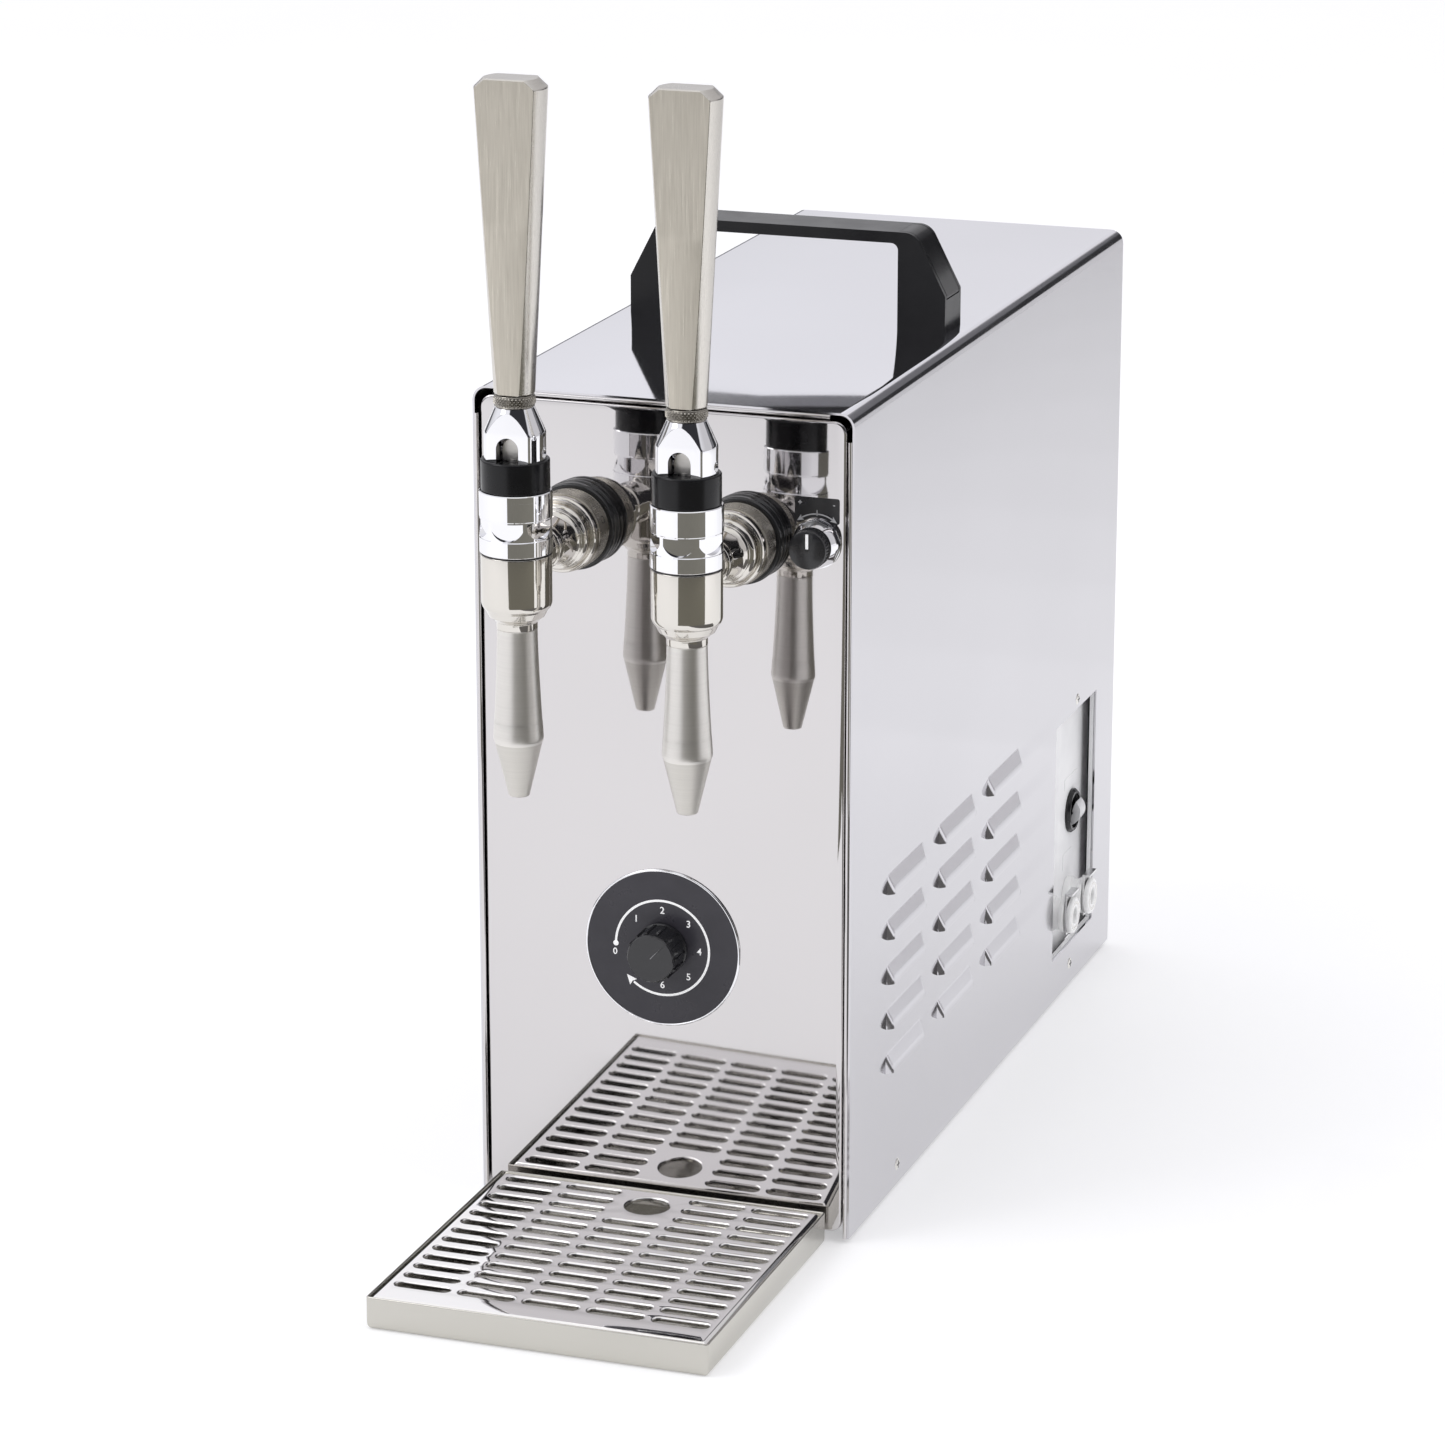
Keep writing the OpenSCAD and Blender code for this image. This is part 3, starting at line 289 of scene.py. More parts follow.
class Mat:
    """A node material under construction."""

    def __init__(self, color, metallic, roughness):
        self.material = bpy.data.materials.new("stage_finish")
        self.material.use_nodes = True
        self.nodes = self.material.node_tree.nodes
        self.links = self.material.node_tree.links
        self.shader = self.nodes["Principled BSDF"]
        self.shader.inputs["Base Color"].default_value = (*color, 1)
        self.shader.inputs["Metallic"].default_value = metallic
        self.shader.inputs["Roughness"].default_value = roughness
        self.coords = self.nodes.new("ShaderNodeTexCoord")
        self.last_normal = None
        self.color = color

    def set(self, **values):
        for key, value in values.items():
            self.shader.inputs[key.replace("_", " ")].default_value = value
        return self

    def noise(self, size_mm, stretch=(1, 1, 1), detail=3.0, rough=0.5):
        """Noise whose grains are about size_mm, drawn out by stretch along x, y and z."""
        mapping = self.nodes.new("ShaderNodeMapping")
        scale = 1 / (size_mm * MM)
        mapping.inputs["Scale"].default_value = [scale / s for s in stretch]
        self.links.new(self.coords.outputs["Object"], mapping.inputs["Vector"])
        noise = self.nodes.new("ShaderNodeTexNoise")
        noise.inputs["Scale"].default_value = 1.0
        noise.inputs["Detail"].default_value = detail
        noise.inputs["Roughness"].default_value = rough
        self.links.new(mapping.outputs[0], noise.inputs["Vector"])
        return noise.outputs["Fac"]

    def spread(self, fac, low, high):
        """The range in which most of a noise lies, spread from low to high."""
        node = self.nodes.new("ShaderNodeMapRange")
        for i, value in enumerate((0.3, 0.7, low, high)):
            node.inputs[i + 1].default_value = value
        self.links.new(fac, node.inputs[0])
        return node.outputs[0]

    def roughness(self, fac, low, high):
        self.links.new(self.spread(fac, low, high), self.shader.inputs["Roughness"])
        return self

    def tint(self, fac, other, most=1.0):
        """Base colour that drifts towards another one with a pattern."""
        mix = self.nodes.new("ShaderNodeMix")
        mix.data_type = "RGBA"
        mix.inputs["A"].default_value = (*self.color, 1)
        mix.inputs["B"].default_value = (*other, 1)
        self.links.new(self.spread(fac, 0.0, most), mix.inputs["Factor"])
        self.links.new(mix.outputs["Result"], self.shader.inputs["Base Color"])
        return self

    def bump(self, fac, height_mm, strength=1.0):
        bump = self.nodes.new("ShaderNodeBump")
        bump.inputs["Strength"].default_value = strength
        bump.inputs["Distance"].default_value = height_mm * MM
        self.links.new(fac, bump.inputs["Height"])
        if self.last_normal is not None:
            self.links.new(self.last_normal, bump.inputs["Normal"])
        self.last_normal = bump.outputs["Normal"]
        self.links.new(self.last_normal, self.shader.inputs["Normal"])
        return self


def floor_material(shade=1.0):
    """Pale paper that glows a little, so that the shadows on it stay soft."""
    mat = Mat((0.76 * shade, 0.76 * shade, 0.765 * shade), 0, 0.9)
    mat.tint(mat.noise(400), (0.75 * shade, 0.75 * shade, 0.755 * shade))
    mat.bump(mat.noise(1.2), 0.02, 0.2)
    mat.set(Emission_Color=(0.95, 0.95, 0.96, 1), Emission_Strength=0.38 * shade)
    return mat.material


def rolled_steel(color, roughness, grain=(1, 1, 60), wave=0.35):
    """Bright rolled sheet: faint grain, light smudges and a slow waviness."""
    mat = Mat(color, 1, roughness)
    mat.roughness(mat.noise(55, detail=4), roughness * 0.75, roughness * 1.45)
    mat.tint(mat.noise(160, detail=2), tuple(c * 0.97 for c in color))
    mat.bump(mat.noise(130, detail=1), wave, 0.35)
    mat.bump(mat.noise(0.5, grain, 2), 0.0016, 0.5)
    return mat.material


def turned_steel(color, roughness, ring_mm=0.3, depth=0.003, along=(4000, 4000, 1)):
    """Lathe-turned steel: fine rings round its axis."""
    mat = Mat(color, 1, roughness)
    rings = mat.noise(ring_mm, along, 3, 0.6)
    mat.roughness(rings, roughness * 0.85, roughness * 1.2)
    mat.tint(mat.noise(4 * ring_mm, along, 2), tuple(c * 0.95 for c in color))
    mat.bump(rings, depth, 0.5)
    return mat.material


def brushed_steel(color, roughness, depth=0.012, contrast=0.86):
    """Steel brushed lengthwise, along z."""
    mat = Mat(color, 1, roughness)
    lines = mat.noise(0.28, (1, 1, 90), 4, 0.65)
    mat.roughness(lines, roughness * 0.78, roughness * 1.3)
    mat.tint(lines, tuple(c * contrast for c in color))
    mat.bump(lines, depth, 0.55)
    mat.set(Anisotropic=0.45)
    return mat.material


def polished(color, roughness=0.04):
    mat = Mat(color, 1, roughness)
    mat.roughness(mat.noise(7, detail=4), roughness * 0.7, roughness * 1.5)
    mat.bump(mat.noise(22, detail=1), 0.012, 0.2)
    return mat.material


def moulded(color, roughness, grain_mm=0.35, depth=0.012, coat=0.0, specular=0.5):
    """Moulded plastic or rubber with a fine skin."""
    mat = Mat(color, 0, roughness)
    mat.roughness(mat.noise(12, detail=4), roughness * 0.85, roughness * 1.2)
    mat.tint(mat.noise(25, detail=3), tuple(min(1, c * 1.35 + 0.004) for c in color), 0.6)
    mat.bump(mat.noise(grain_mm, detail=2), depth, 0.6)
    mat.set(Coat_Weight=coat, Coat_Roughness=0.08, Specular_IOR_Level=specular)
    return mat.material


def print_ink(color, glow=0.0):
    # the glow makes the ink shine without a lamp: painted light
    mat = Mat(color, 0, 0.42)
    mat.set(Emission_Color=(*color, 1), Emission_Strength=glow)
    mat.tint(mat.noise(0.6, detail=2), tuple(c * 0.93 for c in color))
    mat.bump(mat.noise(0.15), 0.004, 0.4)
    return mat.material


MATERIALS = {
    "mirror_steel": rolled_steel((0.635, 0.617, 0.618), 0.03, (60, 1, 1), 0.18),
    "shell_steel": rolled_steel((0.63, 0.622, 0.645), 0.10, (1, 60, 1), 0.4),
    # the shell's top is the same steel as its sides, in a brighter copy: painted light on the upward faces
    "painted_light_top_steel": rolled_steel((0.93, 0.925, 0.97), 0.04, (1, 60, 1), 0.2),
    "sheet_steel": rolled_steel((0.66, 0.66, 0.68), 0.26, (1, 40, 1), 0.5),
    "tray_steel": rolled_steel((0.57, 0.555, 0.51), 0.19, (60, 1, 1), 0.5),
    "grate_steel": rolled_steel((0.96, 0.945, 0.93), 0.05, (60, 1, 1), 0.3),
    "steel_polished": polished((0.69, 0.665, 0.62), 0.06),
    "steel_brushed": brushed_steel((0.63, 0.59, 0.51), 0.34),
    "steel_satin": turned_steel((0.76, 0.74, 0.705), 0.38),
    "steel_tip": turned_steel((0.62, 0.60, 0.56), 0.36, 0.25, 0.006),
    "steel_knurl": polished((0.35, 0.33, 0.295), 0.24),
    "steel_bright": polished((0.80, 0.80, 0.80), 0.14),
    "screw_steel": polished((0.80, 0.785, 0.75), 0.2),
    # pale non-metal finish in the side recess: painted light on the window jamb, and on the inset plate a pale
    # face for its labels that also lifts the shade of the recess
    "recess_pale_and_painted_light": moulded((0.80, 0.80, 0.81), 0.4, 0.4, 0.004),
    "chrome": polished((0.85, 0.85, 0.87), 0.02),
    "brass": polished((0.78, 0.60, 0.30), 0.22),
    "copper": polished((0.80, 0.46, 0.32), 0.25),
    "aluminium_fins": polished((0.80, 0.81, 0.82), 0.28),
    "aluminium_cast": polished((0.66, 0.67, 0.68), 0.42),
    "compressor_black": moulded((0.02, 0.02, 0.022), 0.3, 0.8, 0.01, 0.3),
    "plastic_black": moulded((0.007, 0.007, 0.008), 0.2, 0.4, 0.005, 0.0, 0.24),
    "plastic_dark": moulded((0.06, 0.06, 0.065), 0.45),
    "gloss_black": moulded((0.010, 0.010, 0.011), 0.16, 0.8, 0.003, 0.1, 0.35),
    "knob_black": moulded((0.014, 0.014, 0.016), 0.22, 0.5, 0.004, 0.2),
    "dial_dark": moulded((0.034, 0.032, 0.040), 0.3, 0.2, 0.003, 0.05, 0.4),
    "label_black": moulded((0.012, 0.012, 0.014), 0.3, 0.2, 0.003, 0.2),
    "label_white": moulded((0.82, 0.82, 0.83), 0.35, 0.3, 0.003),
    "rocker_grey": moulded((0.55, 0.55, 0.56), 0.25, 0.4, 0.003, 0.2),
    "acetal_white": moulded((0.93, 0.93, 0.92), 0.25, 0.4, 0.003),
    "control_grey": moulded((0.25, 0.25, 0.26), 0.5),
    "collar_black": moulded((0.004, 0.004, 0.005), 0.24, 0.3, 0.004, 0.0, 0.3),
    "rubber_black": moulded((0.014, 0.014, 0.015), 0.42, 0.3, 0.01),
    "foam": moulded((0.78, 0.73, 0.56), 0.8, 1.5, 0.2),
    "hose_clear": moulded((0.72, 0.75, 0.76), 0.3, 0.6, 0.004),
    "steel_side": brushed_steel((0.66, 0.635, 0.59), 0.24, 0.0012, 0.96),
    "gasket_rubber": moulded((0.012, 0.012, 0.013), 0.2, 0.5, 0.006, 0.2),
    # white ink glows a little: painted light that keeps the dial marks and pointer bright
    "ink_white": print_ink((0.95, 0.95, 0.95), 0.25),
    "ink_grey": print_ink((0.50, 0.50, 0.51)),
}
for key, material in MATERIALS.items():
    material.name = key + "_finish"


def dress_frame():
    """Every CAD node gets the finish that its subpart's slot names, except the inset plate, which gets the pale
    recess finish.
    """
    for part in frame["record"]["subparts"]:
        thing = frame["nodes"][part["node"]]
        thing.data.materials.clear()
        # the inset plate is pale and does not mirror like steel: partly its labels, partly painted light lifting
        # the recess's shade
        finish = "recess_pale_and_painted_light" if part["node"] == "inset_plate" else part["material_slot"]
        thing.data.materials.append(MATERIALS[finish])


# ---------- Mesh building ----------


def soften(points, radius, steps, closed=False):
    """Rounds the corners of an outline, each by at most that radius."""
    smooth = []
    count = len(points)
    for i, point in enumerate(points):
        here = Vector(point)
        if not closed and i in (0, count - 1):
            smooth.append(here)
            continue
        before = Vector(points[i - 1]) - here
        after = Vector(points[(i + 1) % count]) - here
        if min(before.length, after.length) < 1e-6 or before.angle(after) > math.radians(168):
            smooth.append(here)
            continue
        start = here + before * min(radius / before.length, 0.45)
        end = here + after * min(radius / after.length, 0.45)
        for k in range(steps + 1):
            t = k / steps
            smooth.append(start.lerp(here, t).lerp(here.lerp(end, t), t))
    return smooth


def polar(r, angle):
    return r * math.cos(angle), r * math.sin(angle)


def arc(cx, cy, r, start, end, steps):
    """Points of an arc, angles in degrees."""
    angles = [math.radians(start + (end - start) * i / steps) for i in range(steps + 1)]
    return [(cx + r * math.cos(a), cy + r * math.sin(a)) for a in angles]


def loop_verts(bm, place, points, z):
    return [bm.verts.new(place @ Vector((p[0], p[1], z))) for p in points]


def bridge(bm, lower, upper):
    """Quads between two closed loops of the same length."""
    count = len(lower)
    for i in range(count):
        j = (i + 1) % count
        bm.faces.new((lower[i], lower[j], upper[j], upper[i]))


def skin(bm, loops):
    """Walls between closed loops in turn."""
    for lower, upper in zip(loops, loops[1:]):
        bridge(bm, lower, upper)


def loft(bm, loops):
    """Walls between the loops, and a face over the first one and the last."""
    skin(bm, loops)
    bm.faces.new(list(reversed(loops[0])))
    bm.faces.new(loops[-1])


def circle_verts(bm, place, r, h, count):
    turn = [TAU * i / count for i in range(count)]
    return [bm.verts.new(place @ Vector((*polar(r, a), h))) for a in turn]


def lathe(bm, place, outline, segments=96, closed=True):
    """Solid of revolution round local z from an outline of (radius, height)."""
    rings = []
    for r, h in outline:
        if r < 1e-6:
            rings.append([bm.verts.new(place @ Vector((0, 0, h)))])
        else:
            rings.append(circle_verts(bm, place, r, h, segments))
    pairs = list(zip(rings, rings[1:]))
    if closed:
        pairs.append((rings[-1], rings[0]))
    for lower, upper in pairs:
        if len(lower) > 1 and len(upper) > 1:
            bridge(bm, lower, upper)
            continue
        if len(lower) == len(upper):
            continue
        for i in range(segments):
            j = (i + 1) % segments
            if len(lower) == 1:
                bm.faces.new((lower[0], upper[j], upper[i]))
            else:
                bm.faces.new((lower[i], lower[j], upper[0]))


def extrude(bm, place, outline, z0, z1):
    """Prism over a closed outline, along local z."""
    loft(bm, [loop_verts(bm, place, outline, z) for z in (z0, z1)])


def rounded_rect(half_x, half_y, r, cx=0.0, cy=0.0, steps=6):
    points = []
    for sx, sy, start in ((1, 1, 0), (-1, 1, 90), (-1, -1, 180), (1, -1, 270)):
        points += arc(cx + sx * (half_x - r), cy + sy * (half_y - r), r, start, start + 90, steps)
    return points


def rect_loft(bm, place, levels, steps=6):
    """Closed form through rounded rectangles, each level being (half_x, half_y, corner, z)."""
    loft(bm, [loop_verts(bm, place, rounded_rect(x, y, r, steps=steps), z) for x, y, r, z in levels])


def knurled_band(bm, place, r, h0, h1, teeth, depth, samples, bore):
    """Ring whose outside carries crossed helical grooves, as a diamond knurl."""
    columns = teeth * samples
    pitch = TAU * r / teeth
    rows = max(2, round((h1 - h0) / (pitch / samples)))

    def ridge(phase):
        return abs(2 * (phase % 1) - 1)

    def radius(i, j):
        edge = min(j, rows - j) / samples
        height = min(ridge((i + j) / samples), ridge((i - j) / samples))
        return r - depth + depth * min(1.0, 1.5 * height) * min(1.0, 2 * edge)

    rings = []
    for j in range(rows + 1):
        h = h0 + (h1 - h0) * j / rows
        spots = [polar(radius(i, j), TAU * i / columns) for i in range(columns)]
        rings.append(loop_verts(bm, place, spots, h))
    skin(bm, rings)
    inner = [circle_verts(bm, place, bore, h, columns) for h in (h0, h1)]
    bridge(bm, inner[0], rings[0])
    bridge(bm, rings[-1], inner[1])
    bridge(bm, inner[1], inner[0])


def loose_object(name, bm):
    """Turns a finished bmesh into an object."""
    data = bpy.data.meshes.new(name)
    bm.to_mesh(data)
    bm.free()
    return linked(name, data)


def fold_sharp(data, degrees):
    data.shade_smooth()
    data.set_sharp_from_angle(angle=math.radians(degrees))


def piece(name, bm, body, finish, replaces=(), sharp=30, outward=True):
    """Turns a finished bmesh into a piece that rides on a body."""
    if outward:
        bmesh.ops.recalc_face_normals(bm, faces=bm.faces)
    thing = loose_object(name, bm)
    fold_sharp(thing.data, sharp)
    thing.data.materials.append(MATERIALS[finish])
    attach(thing, body)
    if replaces:
        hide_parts(*replaces)
    return thing


def turned(
    name, outline, places, finish, replaces=(), sharp=30, segments=96, radius=0.0, steps=3, closed=True
):
    """Piece of the cabinet with one turned form at each place, its corners softened by the radius."""
    points = soften(outline, radius, steps, closed) if radius else outline
    bm = bmesh.new()
    for place in places:
        lathe(bm, place, points, segments, closed)
    return piece(name, bm, "cabinet", finish, replaces, sharp)


def second_finish(thing, finish, belongs):
    """A second material on the faces for which belongs is true."""
    thing.data.materials.append(MATERIALS[finish])
    for face in thing.data.polygons:
        if belongs(face):
            face.material_index = 1


def bake(thing, sharp):
    """Turns a piece's modifiers into mesh and keeps its folded edges crisp."""
    graph = bpy.context.evaluated_depsgraph_get()
    solid = bpy.data.meshes.new_from_object(thing.evaluated_get(graph))
    thing.modifiers.clear()
    thing.data = solid
    fold_sharp(solid, sharp)


def thicken(thing, thickness_mm, sharp):
    """Gives a sheet its thickness, inwards."""
    solid = thing.modifiers.new("thickness", "SOLIDIFY")
    solid.thickness = thickness_mm * MM
    solid.offset = -1
    bake(thing, sharp)


def ease_edges(node, width_mm, segments):
    """Small rounded edges on a CAD node that stays."""
    thing = frame["nodes"][node]
    normals = thing.data.attributes.get("custom_normal")
    if normals:
        thing.data.attributes.remove(normals)
    thing.data.shade_smooth()
    thing.modifiers.new("weld", "WELD").merge_threshold = 2e-6
    bevel = thing.modifiers.new("edges", "BEVEL")
    bevel.width = width_mm * MM
    bevel.segments = segments
    bevel.limit_method = "ANGLE"
    bevel.angle_limit = math.radians(33)
    bevel.harden_normals = True
    bevel.use_clamp_overlap = True


# ---------- Cabinet ----------

SHEET = 1.0
BEND_R = 6.0
HEM_DEPTH = 9.0
LOUVER_LEN = 55.0
LOUVER_H = 10.5
LOUVER_Y = [57 + 83 * c for c in range(3)]
LOUVER_Z = [166 - 22.5 * r for r in range(5)]
WINDOW_Y = (350.0, 429.0)
WINDOW_Z = (25.9, 155.4)
# the panel in view closes the CAD panel's wide gap to the hems a little
PANEL_GROW_X = 1.0
PANEL_GROW_Z = 0.4
SIDE_SCREWS = [(76.5, 12.5), (385.0, 14.1), (391.0, 160.6)]
BACK_SCREWS = [(x, z) for x in (-80.0, 80.0) for z in (60.0, 225.0, 385.0)]
INLET_Y = (370.0, 405.0)
INLET_Z = 46.7
RECESS = 7.0  # the inset plate's depth behind the right wall


def soft_min(a, b, k):
    """Smaller of two heights with a rounded crossing of width k."""
    h = max(k - abs(a - b), 0) / k
    return min(a, b) - h * h * k / 4


def louver_height(u, v):
    """How far a louver stands out, u along it and v down it: a slope with closed steep ends."""
    end, foot = 3.4, 0.10
    rise = max(soft_min(min(v / LOUVER_H, 2), min(min(u, LOUVER_LEN - u) / end, 2), 0.22), 0)
    eased = rise * rise / (2 * foot) if rise < foot else rise - foot / 2
    return (LOUVER_OUT - 0.1) * min(eased / (1 - foot / 2), 1)


def merged(values):
    return sorted({round(value, 4) for value in values})


def shell_lines():
    """Grid lines over the depth and over the height that follow the louvers and the window."""
    near_end = [-0.8, 0, 0.5, 1, 1.5, 2, 2.5, 3, 3.5, 4.2, 5.2, 7, 11, 18]
    depth_lines = [1.0, 9.0, 30.0, 45.0, BACK_Y - FRONT_Y, *WINDOW_Y]
    for y in LOUVER_Y:
        depth_lines += [y + u for u in near_end] + [y + LOUVER_LEN - u for u in near_end]
    height_lines = [GAP_Z, 12.0, TOP_Z - BEND_R, 200.0, 260.0, 320.0, *WINDOW_Z]
    for z in LOUVER_Z:
        height_lines += [z - v for v in (-0.8, 0, 0.5, 1, 1.5, 2.2, 3.5, 5, 6.5, 8, 9.2, LOUVER_H, LOUVER_H + 0.8)]
    return merged(depth_lines), merged(height_lines)


def louver_at(y, z):
    """The louver whose slope covers that place of a wall, if any."""
    for louver_y in LOUVER_Y:
        for louver_z in LOUVER_Z:
            if louver_y < y < louver_y + LOUVER_LEN and louver_z - LOUVER_H < z < louver_z:
                return louver_y, louver_z
    return None


def bend_stations(sign, start, end):
    mid_x, mid_z = sign * (HALF_W - BEND_R), TOP_Z - BEND_R
    points = arc(mid_x, mid_z, BEND_R, start, end, 10)
    return [(x, z, (x - mid_x) / BEND_R, (z - mid_z) / BEND_R, 0) for x, z in points]


def build_shell():
    """Folded sheet: both sides and the top, with pressed louvers and the side window."""
    bm = bmesh.new()
    depth_lines, height_lines = shell_lines()
    # once round the section: x, z, the normal's x and z, and -1, 0 or 1 for left wall, top or right wall
    stations = [(-HALF_W, z, -1.0, 0.0, -1) for z in height_lines]
    stations += bend_stations(-1, 180, 90)[1:]
    stations += [(x, TOP_Z, 0.0, 1.0, 0) for x in (-40.0, 0.0, 40.0)]
    stations += bend_stations(1, 90, 0)[:-1]
    stations += [(HALF_W, z, 1.0, 0.0, 1) for z in reversed(height_lines)]
    made = {}

    def vert(i, j, louver):
        x, z, normal_x, normal_z, _ = stations[i]
        y = depth_lines[j]
        out = 0.0
        key = (i, j)
        if louver:
            down = louver[1] - z
            out = louver_height(y - louver[0], down)
            # the open mouth has corners of its own
            if down > LOUVER_H - 1e-3 and out > 1e-6:
                key = (i, j, louver)
        if key not in made:
            spot = Vector((MIDDLE_X + x + normal_x * out, FRONT_Y + y, z + normal_z * out)) * MM
            made[key] = bm.verts.new(spot)
        return made[key]

    for i, (a, b) in enumerate(zip(stations, stations[1:])):
        on_wall = a[4] != 0 and a[4] == b[4]
        mid_z = (a[1] + b[1]) / 2
        beside_window = on_wall and a[4] == 1 and WINDOW_Z[0] < mid_z < WINDOW_Z[1]
        for j in range(len(depth_lines) - 1):
            mid_y = (depth_lines[j] + depth_lines[j + 1]) / 2
            if beside_window and WINDOW_Y[0] < mid_y < WINDOW_Y[1]:
                continue
            louver = louver_at(mid_y, mid_z) if on_wall else None
            bm.faces.new([vert(p, q, louver) for p, q in ((i, j), (i, j + 1), (i + 1, j + 1), (i + 1, j))])
    shell = piece("shell_sheet", bm, "cabinet", "shell_steel", ("shell",), 28, outward=False)
    thicken(shell, SHEET, 25)
    # the thickness modifier pushes a few louver corners outwards: back to the louver's own height
    reach = (HALF_W + LOUVER_OUT) * MM
    for corner in shell.data.vertices:
        corner.co.x = min(max(corner.co.x, MIDDLE_X * MM - reach), MIDDLE_X * MM + reach)
    # faces that point up get the brighter copy of the steel: painted light on the top
    second_finish(shell, "painted_light_top_steel", lambda face: face.normal.z > 0.9)


def build_hems():
    """Folded-back front edges; they stop short of the top corners."""
    # outline of the fold: x runs back from the front edge and y inwards
    outline = arc(1, 1, 0.98, 270, 90, 10) + [(HEM_DEPTH, 1.98), (HEM_DEPTH, 1.04), (1.2, 1.04)]
    bm = bmesh.new()
    for sign in (-1, 1):
        turn = Matrix(((0, -sign, 0), (1, 0, 0), (0, 0, 1)))
        place = place_at(MIDDLE_X + sign * HALF_W, FRONT_Y, 0, turn)
        extrude(bm, place, outline, GAP_Z, TOP_Z - BEND_R - 6)
    place = place_at(MIDDLE_X, FRONT_Y, TOP_Z, Matrix(((0, 0, 1), (1, 0, 0), (0, -1, 0))))
    reach = HALF_W - BEND_R - 4.5
    extrude(bm, place, outline, -reach, reach)
    piece("shell_hems", bm, "cabinet", "mirror_steel", (), 28)


def build_front_panel():
    """Mirror-polished panel with rolled edges and rounded corners."""
    half_x = (panel_hi.x - panel_lo.x) / 2 + PANEL_GROW_X
    half_z = (panel_hi.z - panel_lo.z) / 2 + PANEL_GROW_Z
    roll, sheet, corner, depth = 1.3, 1.2, 6.0, 11
    inner = (half_x - sheet, half_z - sheet, corner - sheet)
    levels = [
        (*inner, PANEL_FRONT - sheet - 0.1),
        (*inner, PANEL_FRONT - depth),
        (half_x, half_z, corner, PANEL_FRONT - depth),
    ]
    for x, z in arc(half_x - roll, PANEL_FRONT - roll, roll, 0, 90, 6):
        levels.append((x, half_z + x - half_x, corner + x - half_x, z))
    bm = bmesh.new()
    rect_loft(bm, place_forward(MIDDLE_X, (panel_hi.z + panel_lo.z) / 2), levels, steps=8)
    piece("front_panel_sheet", bm, "cabinet", "mirror_steel", ("front_panel",), 28)


def build_back_panel():
    """Flat sheet with two blocks of warm-air slots and the mains opening."""
    low, high = box_mm("back_panel")
    half_x, half_z, mid_z = (high.x - low.x) / 2, (high.z - low.z) / 2, (high.z + low.z) / 2
    place, plate = place_back(), 1.2

    def slot_at(cx, cz):
        return lambda grow: [(x, y) for y, x in obround(cz, cx, 50.0, 3.4, grow, 8)]

    def mains(grow):
        return rounded_rect(14.0 + grow, 10.0 + grow, 0.8 + grow, -46.0, 36.0, 3)

    def edge(grow):
        return rounded_rect(half_x - grow, half_z - grow, 1.2, 0, mid_z, 3)

    shapes = [edge, mains] + [slot_at(8.5 * i, 250.0 + 62.0 * row) for row in (0, 1) for i in range(-8, 9)]
    bm = bmesh.new()
    faces = {0.0: [], -plate: []}
    for shape in shapes:
        loops = []
        for grow, depth in ((0.2, 0.0), (0.06, -0.06), (0.0, -0.2), (0.0, -plate)):
            loops.append(loop_verts(bm, place, shape(grow), depth))
        for upper, lower in zip(loops, loops[1:]):
            bridge(bm, lower, upper)
        for depth, loop in ((0.0, loops[0]), (-plate, loops[-1])):
            faces[depth] += [bm.edges.get((loop[i], loop[(i + 1) % len(loop)])) for i in range(len(loop))]
    for edges in faces.values():
        bmesh.ops.triangle_fill(bm, edges=edges, use_beauty=True, normal=(0, 1, 0))
    for sign in (-1, 1):
        spot = sign * (half_x - 0.6)
        flange = rounded_rect(0.6, half_z - 16, 0.2, spot, mid_z, 2)
        extrude(bm, place, flange, -12.0, -plate - 0.01)
    piece("back_panel_sheet", bm, "cabinet", "sheet_steel", ("back_panel",), 20)


def build_screws():
    """Pan heads on both sides and on the back; the cross recess in each and a thin ring round each head's foot are
    black pieces, painted shade.
    """
    places = [place_back() @ Matrix.Translation((x, z, 0)) for x, z in BACK_SCREWS]
    for sign in (-1, 1):
        places += [place_side(sign) @ Matrix.Translation((y, z, HALF_W)) for y, z in SIDE_SCREWS]
    wide, narrow = 1.75, 0.33
    cross = [(wide, -narrow), (wide, narrow), (narrow, narrow), (narrow, wide), (-narrow, wide), (-narrow, narrow)]
    cross += [(-x, -y) for x, y in cross]
    # black cross and thin black ring: painted shade for the recess and for the gap round the head
    marks = bmesh.new()
    for place in places:
        extrude(marks, place, cross, 0.8, 1.7)
        lathe(marks, place, [(3.35, 0.01), (3.8, 0.01), (3.75, 0.1), (3.35, 0.1)], 40)
    piece("screw_painted_shade_marks", marks, "cabinet", "rubber_black")
    dome = [(0, -0.8), (3.4, -0.8), (3.4, 0.45), (3.1, 1.0), (2.3, 1.45), (1.2, 1.64), (0, 1.66)]
    turned("screw_heads", dome, places, "screw_steel", ("panel_screws",), 24, 40, 0.15, 2, False)


